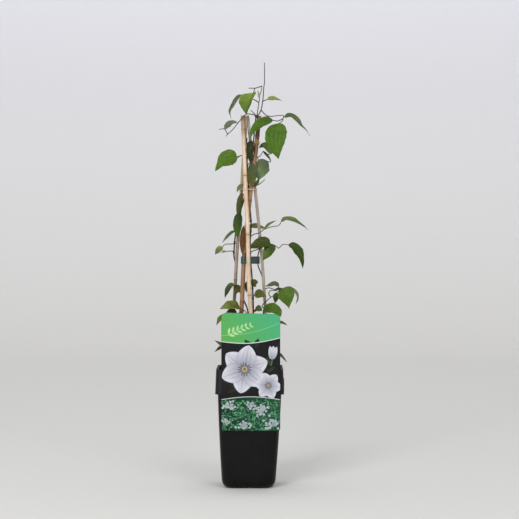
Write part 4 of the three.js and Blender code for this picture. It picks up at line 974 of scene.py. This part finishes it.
def evened(line, spacing):
    """The same closed line with its points a given distance apart."""
    spots = [Vector((x, y, 0)) for x, y in line]
    spots.append(spots[0])
    reach = [0]
    for here, there in zip(spots, spots[1:]):
        reach.append(reach[-1] + (there - here).length)
    count = round(reach[-1] / spacing)
    out = []
    for i in range(count):
        distance = reach[-1] * i / count
        k = min(len(spots) - 2, bisect.bisect(reach, distance) - 1)
        part = (distance - reach[k]) / (reach[k + 1] - reach[k])
        spot = spots[k].lerp(spots[k + 1], part)
        out.append((spot.x, spot.y))
    return out


def circle_at(points, height, radius):
    spot = Route(points).at_height(height)
    return (spot.x, spot.y, radius)


def cane_circle(node, height):
    radius, points, _ = CANES[node]
    return circle_at(points, height, radius)


def make_twine():
    """A ring of three-ply twine pulled tight round all four canes."""
    circles = [cane_circle(node, TWINE_HEIGHT) for node in CANES]
    line = [(x, y, TWINE_HEIGHT) for x, y in evened(hull_round(circles, offset=1.1), spacing=0.5)]
    twine = twisted("twine_ring", line, strands=3, lay=round(len(line) / 9), strand_radius=0.42,
                    twist_radius=0.4)
    settle(smooth(twine, 60), [spun_fibre("sisal_twine_spun", 0xE8DCC0, 0xB49C74)], "cane_tie")


def ribbon(name, route, half_wide, half_thick, twist):
    """A flat strand along a route, turning as it goes, with tapered ends."""
    rings = []
    side = Vector((0, 0, 1))
    for share in even(max(6, round(route.length / 0.8))):
        heading = route.heading(share)
        side = (side - heading * side.dot(heading)).normalized()
        up = heading.cross(side)
        turn = twist * math.tau * share
        wide = side * math.cos(turn) + up * math.sin(turn)
        thin = up * math.cos(turn) - side * math.sin(turn)
        taper = min(1, 0.35 + 8 * min(share, 1 - share))
        rings.append(oval(route.at(share), wide * half_wide * taper, thin * half_thick * taper, 10))
    return skin(name, rings)


# Loose ends at the knot: full turns of each, then its points from the knot
RAFFIA_TAILS = [
    (0.5, (-1, 0, 0), (-3.4, -1.6, 3), (-0.6, -2.6, 4.4), (1.2, -1, 0.6)),
    (0.8, (0, 0, 0), (3.6, -1.8, -2), (5.4, -1.6, -5.4)),
    (0.6, (-0.6, 0, -0.6), (-3.4, -0.8, -2.6), (-4.6, 0, -6.6)),
    (0.4, (0.4, 0, 0.4), (2.6, -1.2, 3.4), (3.8, -0.4, 7)),
    (0.1, (-1.6, -0.2, 1), (0, -1.3, 0), (1.6, -0.2, -1)),
]


def make_raffia():
    """Two turns of split raffia round cane and shoot, knotted in front with loose tails."""
    cane = cane_circle("cane_front_left", RAFFIA_HEIGHT)
    shoot = circle_at(MAIN_SHOOT, RAFFIA_HEIGHT, radius=1.3)
    line = evened(hull_round([cane, shoot], offset=1.0), spacing=0.7)
    pieces = []
    for rise, lean in ((-1.1, 0.5), (0.1, -0.6)):
        loop = []
        for (x, y), turn in zip(line, turns(len(line))):
            loop.append((x, y, RAFFIA_HEIGHT + rise + lean * math.sin(turn)))
        pieces.append(twisted("raffia_turn", loop, strands=3, lay=4, strand_radius=0.55, twist_radius=0.42))
    knot = Vector((cane[0], cane[1] - cane[2] - 0.9, RAFFIA_HEIGHT))
    for twist, *tail in RAFFIA_TAILS:
        route = Route([knot + Vector(spot) for spot in tail])
        pieces.append(ribbon("raffia_tail", route, half_wide=1.15, half_thick=0.28, twist=twist))
    raffia = smooth(join("raffia_tie", pieces), 60)
    settle(raffia, [spun_fibre("raffia_split", 0xBE9866, 0x875F38, 0.6)], "raffia_knot")


# Round the tape's section: reach outwards in millimetres and rise as a share of its half width
TAPE_SECTION = [(-0.32, -1), (-0.36, -0.6), (-0.36, 0), (-0.36, 0.6), (-0.32, 1), (0, 1.02), (0.32, 1),
                (0.36, 0.6), (0.36, 0), (0.36, -0.6), (0.32, -1), (0, -1.02)]


def make_tape():
    """A soft loop round a cane and two shoots, creased and a little twisted."""
    middle = (TAPE_BOTTOM + TAPE_TOP) / 2
    half = (TAPE_TOP - TAPE_BOTTOM) / 2
    circles = [circle_at(points, middle, radius) for points, radius in
               ((CANES["cane_front_left"][1], 4.4), (MAIN_SHOOT, 1.6), (RIGHT_SHOOT, 2.1))]
    line = [Vector((x, y, middle)) for x, y in evened(hull_round(circles, offset=0.7), spacing=0.9)]
    rings = []
    for i, (spot, turn) in enumerate(zip(line, turns(len(line)))):
        ahead = line[(i + 1) % len(line)] - line[i - 1]
        out = Vector((ahead.y, -ahead.x, 0)).normalized()
        ring = []
        for reach, rise in TAPE_SECTION:
            crease = 0.22 * noise.noise(Vector((i * 0.35, rise * 1.4, 1)))
            lift = 0.225 * math.sin(2 * turn) * rise
            ring.append(spot + Vector((0, 0, rise * half + lift)) + out * (reach + crease))
        rings.append(ring)
    settle(smooth(skin("tape_band", rings, looped=True), 50), [garden_tape()], "tape_loop")


# Label

# How far in front of the pot's middle the card stands, as a line read by height
CARD_ROUTE = Route(CARD_DEPTH)


def card_reach(z):
    """Half width of the card at a height, less where a corner is rounded."""
    for corner, gone in ((CARD_CORNERS[0], z - CARD_BOTTOM), (CARD_CORNERS[1], CARD_TOP - z)):
        if gone < corner:
            return CARD_HALF - corner + math.sqrt(max(0, corner ** 2 - (corner - gone) ** 2))
    return CARD_HALF


def card_spot(x, z, proud=0.0):
    """A point on the card's face, at a place given as if the card's top were level."""
    upper = max(0, (z - BELT[2]) / (CARD_TOP - BELT[2]))
    return (x, CARD_ROUTE.at_height(z).y - proud, z - CARD_SLANT * upper * (x - CARD_MIDDLE) / CARD_HALF)


def make_label():
    """The card with rounded corners, black in front and bare behind, and its belt with a tab at the side."""
    low_corner, high_corner = CARD_CORNERS
    bends = [1 - math.cos(share * math.pi / 2) for share in even(8)]
    straight = CARD_TOP - high_corner - CARD_BOTTOM - low_corner
    heights = [CARD_BOTTOM + low_corner * bend for bend in bends]
    heights += [CARD_BOTTOM + low_corner + share * straight for share in even(40)[1:-1]]
    heights += [CARD_TOP - high_corner * bend for bend in bends[::-1]]
    rows = []
    for z in heights:
        reach = card_reach(z)
        rows.append([card_spot(CARD_MIDDLE + reach * (2 * share - 1), z) for share in even(16)])
    card = weld(grid_form("label_card_face", rows), outward=False)
    card.data.materials.append(coated_card("coated_card_black_ink", (0x08070A, 0x0D0C0F)))
    card.data.materials.append(coated_card("coated_card_bare_back", (0xE4E4DE, 0xEDEDE8), 0.45))
    apply_modifier(card, "SOLIDIFY", thickness=CARD_THICKNESS * MM, offset=0, material_offset=1,
                   material_offset_rim=1, use_even_offset=True)
    low, low_half, high, high_half = BELT
    outer = []
    inner = []
    for share in even(8):
        z = low + share * (high - low)
        half = low_half + share * (high_half - low_half)
        outer.append(level(z, half, BELT_CORNER, BELT_MIDDLE))
        inner.append(level(z, half - CARD_THICKNESS, BELT_CORNER - CARD_THICKNESS, BELT_MIDDLE))
    belt = skin("label_belt", outer + inner[::-1], looped=True)
    tab_rings = []
    for push, corner in TAB_LAYERS:
        ring = []
        for k, (y, z) in enumerate(TAB_CORNERS):
            for step in even(3):
                turn = (k + step + 2) * math.pi / 2
                ring.append((BELT_MIDDLE + low_half + push, y + corner * math.cos(turn),
                             z + corner * math.sin(turn)))
        tab_rings.append(ring)
    tab = skin("label_tab", tab_rings)
    dark = coated_card("coated_card_dark_belt", (0x141316, 0x1C1A1D), 0.38)
    belt.data.materials.append(dark)
    tab.data.materials.append(dark)
    settle(smooth(join("label_sheet", [card, belt, tab]), 35), [], "label")


PRINT = []
# The print stops short of the card's edge, and each layer lies this much above the one below
PRINT_EDGE = 0.25
LAYER_HEIGHT = 0.03


def printed(rows, inks, layer):
    """One printed shape on the card, from rows of (x, z) in card millimetres and an ink for each point."""
    places = []
    for row in rows:
        spots = []
        for x, z in row:
            z = min(CARD_TOP - PRINT_EDGE, max(CARD_BOTTOM + PRINT_EDGE, z))
            reach = card_reach(z) - PRINT_EDGE
            x = min(CARD_MIDDLE + reach, max(CARD_MIDDLE - reach, x))
            spots.append(card_spot(x, z, CARD_THICKNESS / 2 + LAYER_HEIGHT * layer))
        places.append(spots)
    table = [[linear(ink) for ink in row] for row in inks]
    PRINT.append(grid_form("print", places, {"ink": table}))


def strip(start, turn, length, width, steps, outline, ink, layer, bend=0.0):
    """A long shape from its base: petals, leaves and thin strokes. Ink is a function of along and across."""
    rows = []
    inks = []
    sides = [1 - 2 * across for across in even(steps[1])]
    for share in even(steps[0]):
        x, z = math.cos(turn + bend * share), math.sin(turn + bend * share)
        along = length * share
        half = width / 2 * outline(share)
        rows.append([(start[0] + along * x - half * side * z, start[1] + along * z + half * side * x)
                     for side in sides])
        inks.append([ink(share, side) for side in sides])
    printed(rows, inks, layer)


def blend_ink(first, second, share):
    share = min(1, max(0, share))
    pairs = [(first >> shift & 255, second >> shift & 255) for shift in (16, 8, 0)]
    red, green, blue = [round(low + (high - low) * share) for low, high in pairs]
    return red << 16 | green << 8 | blue


def fading(first, second, pace=1.0):
    """An ink that runs along a shape from its first colour to its second."""
    return lambda share, side: blend_ink(first, second, share * pace)


def straight_outline(share):
    return 1


def petal_outline(share):
    return max(0.02, math.sin(math.pi * share ** 0.72) ** 0.62)


def leaf_outline(share):
    return max(0.02, math.sin(math.pi * share ** 0.8) ** 0.9)


def petal_ink(share, side):
    ridge = max(math.exp(-(side / 0.12) ** 2), 0.6 * math.exp(-((abs(side) - 0.38) / 0.1) ** 2))
    body = blend_ink(0x8C8F9E, 0xC6C6CE, share * 1.4)
    return blend_ink(body, 0x80828F, 0.75 * ridge * (1 - 0.5 * share) + 0.25 * max(0, abs(side) - 0.8) * 5)


def print_bloom(middle, reach, petals, start, layer):
    """Every other petal, then those between them, a ring of thin stamens and a knot of styles."""
    for order, k in enumerate([*range(0, petals, 2), *range(1, petals, 2)]):
        turn = start + k / petals * math.tau
        base = (middle[0] + 0.1 * reach * math.cos(turn), middle[1] + 0.1 * reach * math.sin(turn))
        strip(base, turn, reach * 0.92, reach * 0.86, (16, 18), petal_outline, petal_ink,
              layer + order * 0.5)
    top = layer + petals * 0.5
    for k, turn in enumerate(turns(26)):
        strip(middle, turn + 0.07 * (k % 3), reach * (0.3 if k % 2 else 0.22), reach * 0.035, (3, 2),
              straight_outline, fading(0xB4AC92, 0x4C3C3C, 1.2), top + 0.5)
    for turn in turns(9):
        strip(middle, turn, reach * 0.11, reach * 0.07, (2, 2), straight_outline,
              fading(0x7C7350, 0xB0A882), top + 1)


def printed_band(low, high, ink, layer, rows=10):
    """A band across the whole card between two edges, which are heights for a share of the width."""
    wide = even(40)
    places = [[(CARD_MIDDLE + (2 * share - 1) * CARD_HALF, low(share) + rise * (high(share) - low(share)))
               for share in wide] for rise in even(rows)]
    printed(places, [[ink(share, rise) for share in wide] for rise in even(rows)], layer)


def print_line(edge, width, ink):
    """A thin line of one ink above an edge."""
    printed_band(edge, lambda share: edge(share) + width, lambda share, rise: ink, 2, 1)


def head_edge(share):
    """Where the green head of the print ends, as a height for a share of the card's width."""
    return 257 - 6 * math.sin(math.pi * share) + 8 * share


def foot_edge(share):
    """Where the leafy foot of the print begins."""
    return 156 + 5 * math.sin(math.pi * share)


def make_print():
    """Own flower print in the real one's colours: a green head, two blooms on black, a leafy foot."""
    left = CARD_MIDDLE - CARD_HALF
    right = CARD_MIDDLE + CARD_HALF
    printed_band(head_edge, lambda share: CARD_TOP,
                 lambda share, rise: blend_ink(0x549D46, 0x449F6E, share * 0.9 + rise * 0.35), 1, 16)
    print_line(lambda share: head_edge(share) - 1.4, 1.4, 0xC2CEC4)
    print_line(lambda share: head_edge(share) + 9 + 16 * share, 0.8, 0x82BE80)
    printed_band(lambda share: CARD_BOTTOM, foot_edge, fading(0x0E2A1D, 0x1A4630), 1)
    print_line(foot_edge, 1.3, 0xB4C2BC)

    # Head: a sprig of pale leaves
    strip((-38, 268), 0.32, 40, 0.8, (10, 1), straight_outline, fading(0xA4CC98, 0xA4CC98), 3, 0.25)
    for k in range(6):
        base = (-36 + 7.4 * k, 269 + 3 * k)
        for lean in (0.95, -0.75):
            strip(base, 0.45 + lean, 12 - k, 5.6 - 0.4 * k, (8, 6), leaf_outline,
                  lambda share, side: blend_ink(0x74B264, 0xB4D6A6, 1 - abs(side)), 3)

    # Middle: dim leaves on black, two blooms and a closed bud
    chance = random.Random(11)
    for k in range(26):
        spot = (chance.uniform(left + 4, right - 4), chance.uniform(166, 246))
        dim = chance.choice((0x1A241A, 0x22301F, 0x151C18, 0x2B3A26))
        strip(spot, chance.uniform(0, math.tau), chance.uniform(14, 22), chance.uniform(7, 11), (8, 6),
              leaf_outline, lambda share, side: blend_ink(0x0B0C0B, dim, 1.3 - abs(side)), 1 + 0.02 * k)
    print_bloom((-8, 209), 41, 6, 0.35, 2)
    print_bloom((33, 181), 23, 6, 0.9, 7)
    for turn, width in ((1.2, 10), (1.45, 12), (1.7, 9)):
        strip((39, 226), turn, 24, width, (10, 10), petal_outline, petal_ink, 2 + turn)
    strip((38, 216), 1.4, 11, 2, (4, 2), straight_outline, fading(0x3F6B3C, 0x3F6B3C), 4)

    # Foot: leaves in greens, with white flowers in loose clusters between them
    greens = [0x1C4A36, 0x2C6A4A, 0x4C8E62, 0x367A58, 0x6EA878, 0x14382A]
    for k in range(420):
        spot = (chance.uniform(left + 2, right - 2), chance.uniform(CARD_BOTTOM + 1, 155))
        ink = fading(chance.choice(greens), chance.choice(greens[2:5]), 0.8)
        strip(spot, chance.uniform(0, math.tau), chance.uniform(4, 7.5), chance.uniform(1.3, 2.4), (4, 2),
              leaf_outline, ink, 2 + k % 6 * 0.4)
    clusters = [(20, 140, 14), (38, 116, 13), (-8, 112, 12), (-34, 146, 10), (2, 147, 9), (-40, 118, 7)]
    for x, z, reach in clusters:
        for _ in range(int(reach * 2.2)):
            spot = (x + chance.gauss(0, reach * 0.5), z + chance.gauss(0, reach * 0.32))
            if CARD_BOTTOM + 2 < spot[1] < 154:
                first = chance.uniform(0, 1.2)
                ink = fading(chance.choice((0x8C9CA6, 0xA2AAB4, 0x7A8E96)), 0xC9CDD2, 1.3)
                for turn in turns(5):
                    strip(spot, first + turn, 2.3, 1.7, (3, 2), petal_outline, ink, 5)
    sheet = weld(join("label_print", PRINT), outward=False)
    settle(sheet, [coated_card("offset_print_inks", None, 0.28)])


# Plant

# A blade in rows and columns of faces, its thickness and narrowest half width in millimetres
BLADE_ROWS = 24
BLADE_COLUMNS = 14
BLADE_THICKNESS = 0.34
BLADE_NARROWEST = 0.32
# Where along a blade the waist sits, and how far it spreads
WAIST_PLACE = 0.74
WAIST_SPREAD = 0.18


def blade_share(share, tip):
    """Share of the full half width along an egg shaped blade with a more or less drawn-out tip."""
    base = 0.6
    widest = base / (base + tip)
    top = widest ** base * (1 - widest) ** tip
    return share ** base * (1 - share) ** tip / top


def make_blade(name, chance, rib, width, face, fold, colour, tip=1.1, slant=0.0, waist=0.0):
    """One blade: two halves lifted from the midrib, quilted between the veins, with a softly waved edge.

    The slant sets one lobe of the base higher than the other, and the waist draws the blade in before
    its tip.
    """
    route = Route(rib)
    facing = Vector(face)
    lift = math.tan(math.radians(fold))
    seed = chance.uniform(0, 50)
    rows = []
    for step in even(BLADE_ROWS):
        share = step ** 1.15
        heading = route.heading(share)
        normal = (facing - heading * facing.dot(heading)).normalized()
        across = normal.cross(heading)
        drawn_in = 1 - waist * math.exp(-((share - WAIST_PLACE) / WAIST_SPREAD) ** 2)
        half = max(BLADE_NARROWEST, width / 2 * blade_share(share, tip) * drawn_in)
        row = []
        for column in range(BLADE_COLUMNS, -1, -1):
            side = 2 * column / BLADE_COLUMNS - 1
            reach = abs(side)
            wave = 0.07 * half * math.sin(math.tau * 2.5 * share + (1 if side > 0 else -1)) * reach ** 2
            quilt = 0.03 * half * math.cos(reach * math.tau / 0.38) * math.sin(math.pi * share)
            crumple = 0.05 * half * noise.noise(Vector((side * 1.6, share * 4, seed)))
            rise = half * lift * reach ** 1.25 + wave + quilt + crumple
            edge = 1 + 0.025 * reach ** 3 * math.sin(share * 37 + seed)
            back = slant * side * half * (1 - share) ** 2
            row.append(route.at(share) + across * side * half * edge + normal * rise - heading * back)
        rows.append(row)
    tones = colour.split(">")
    first, first_age = LEAF_COLOURS[tones[0]]
    last, last_age = LEAF_COLOURS[tones[-1]]
    variety = chance.uniform(0.94, 1.06)
    table = []
    ages = []
    for share in even(BLADE_ROWS):
        spread = share * share * (3 - 2 * share)
        ink = [variety * (a + (b - a) * spread) for a, b in zip(linear(first)[:3], linear(last)[:3])]
        table.append([(*ink, 1)] * (BLADE_COLUMNS + 1))
        ages.append([first_age + (last_age - first_age) * spread] * (BLADE_COLUMNS + 1))
    blade = grid_form(name, rows, {"leaf_colour": table, "leaf_age": ages})
    for side in ("upper", "under"):
        blade.data.materials.append(bpy.data.materials["clematis_leaf_" + side])
    return apply_modifier(blade, "SOLIDIFY", thickness=BLADE_THICKNESS * MM, offset=0, material_offset=1,
                          material_offset_rim=0)


# Where a stalk leaves a stem: how much thicker it is, and how far along that spreads. Then the height of
# its ribs as a share of the radius, and how close a stalk has to start to be one of its own
JOINT_SWELL = 0.75
JOINT_SPREAD = 1.8
STEM_RIBS = 0.05
JOINT_REACH = 4


def make_stem(name, route, radii, ripeness, joints=(), sides=12, step=2.5):
    """A ribbed stem that swells where leaf stalks leave it."""
    stations = []
    marks = []
    for share in even(max(4, round(route.length / step))):
        radius = radii[0] + (radii[1] - radii[0]) * share
        for joint in joints:
            radius += JOINT_SWELL * math.exp(-(((share - joint) * route.length) / JOINT_SPREAD) ** 2)
        stations.append((share, radius, 0, STEM_RIBS))
        marks.append([ripeness[0] + (ripeness[1] - ripeness[0]) * share] * sides)
    return skin(name, rings_along(route, stations, sides), {"ripeness": marks})


def make_shoot(title, points, radii, stalks, leaves, extras=()):
    """A shoot as two pieces: its stem with all leaf stalks, and its blades."""
    chance = random.Random(title)
    route = Route(points)
    joints = []
    for stalk in stalks:
        start = Vector(stalk[0])
        share = route.nearest(start)
        if (route.at(share) - start).length < JOINT_REACH:
            joints.append(share)
    stems = [make_stem(title, route, radii, (1, 0.55), joints)]
    for stalk in stalks:
        bare_tip = stalk[-1][2] > BARE_TIP_HEIGHT
        ripe = (0.75, 1) if bare_tip else (0.6, 0.35)
        ends = (1.0, 0.72) if bare_tip else (0.9, 0.68)
        stems.append(make_stem(title, Route(stalk), ends, ripe, sides=8, step=1.6))
    stem = smooth(join(title + "_stem", [*stems, *extras]), 60)
    settle(stem, [bpy.data.materials["clematis_stem_ripening"]], "clematis_shoot_" + title)
    blades = [make_blade(title, chance, *leaf) for leaf in leaves]
    settle(smooth(join(title + "_leaves", blades), 70), [])


# The bud's outline: share of its length and of its full radius
BUD_PROFILE = [(0, 0.5), (0.08, 0.75), (0.25, 1), (0.45, 0.98), (0.62, 0.8), (0.78, 0.5), (0.9, 0.26),
               (1, 0.08)]
# Stalks that start above the first height are young and downy, but not the one that ends above the second
YOUNG_HEIGHT = 660
BARE_TIP_HEIGHT = 740
# A ripeness below nought gives the palest green
PALE_GREEN = -0.16


def make_bud():
    """A ribbed spindle of folded sepals, its green a little uneven all round."""
    points, radius = BUD
    sides = 18
    stations = [(share, radius * reach, 0, 0.06) for share, reach in BUD_PROFILE]
    marks = [[PALE_GREEN + 0.005 * side for side in range(sides)]] * len(BUD_PROFILE)
    return skin("bud", rings_along(Route(points), stations, sides), {"ripeness": marks})


def downy(chance, route, radius_at, count):
    """Root and direction of hairs that stand off a route and lean to its tip."""
    hairs = []
    for _ in range(count):
        share = chance.uniform(0.03, 0.97)
        ring = rings_along(route, [(share, radius_at(share))], 12, chance.uniform(0, 1))[0]
        root = chance.choice(ring)
        middle = route.at(share)
        hairs.append((root, (root - middle).normalized() + route.heading(share) * chance.uniform(0.3, 1)))
    return hairs


def make_down():
    """Fine silky down on the young bud, the top of the shoot and the stalks round the bud."""
    chance = random.Random("down")
    rings = []
    for rise, reach in ((0, 0.05), (0.4, 0.04), (0.8, 0.022)):
        spot = Vector((0.12 * rise ** 2, 0, rise))
        rings.append(oval(spot, Vector((reach, 0, 0)), Vector((0, reach, 0)), 3))
    hair = skin("hair", rings, {"ripeness": [[PALE_GREEN] * 3] * 3})
    points, radius = BUD
    hairs = downy(chance, Route(points), lambda share: radius * 0.8 * math.sin(math.pi * share) ** 0.5, 110)
    hairs += downy(chance, Route(MAIN_SHOOT[-3:]), lambda share: 1.1, 70)
    for stalk in MAIN_PETIOLES:
        if YOUNG_HEIGHT < stalk[0][2] and stalk[-1][2] < BARE_TIP_HEIGHT:
            hairs += downy(chance, Route(stalk), lambda share: 0.65, 26)
    pieces = []
    for root, lean in hairs:
        copy = bpy.data.objects.new("hair", hair.data.copy())
        bpy.context.scene.collection.objects.link(copy)
        turn = lean.to_track_quat("Z", "Y").to_matrix().to_4x4()
        copy.data.transform(Matrix.Translation(root * MM) @ turn @ Matrix.Scale(chance.uniform(0.7, 1.3), 4))
        pieces.append(copy)
    bpy.data.objects.remove(hair)
    settle(smooth(join("bud_down", pieces), 60), [bpy.data.materials["clematis_stem_ripening"]])


set_camera()
set_stage()
make_pot()
make_soil()
for node in CANES:
    make_cane(node)
make_twine()
make_raffia()
make_tape()
make_label()
make_print()
clematis_blade("clematis_leaf_upper", False)
clematis_blade("clematis_leaf_under", True)
clematis_stem()
make_shoot("main", MAIN_SHOOT, (1.5, 1.15), MAIN_PETIOLES, MAIN_LEAVES, [make_bud()])
make_down()
make_shoot("left", LEFT_SHOOT, (1.5, 1.1), LEFT_PETIOLES, LEFT_LEAVES)
make_shoot("right", RIGHT_SHOOT, (1.4, 1.0), RIGHT_PETIOLES, RIGHT_LEAVES)
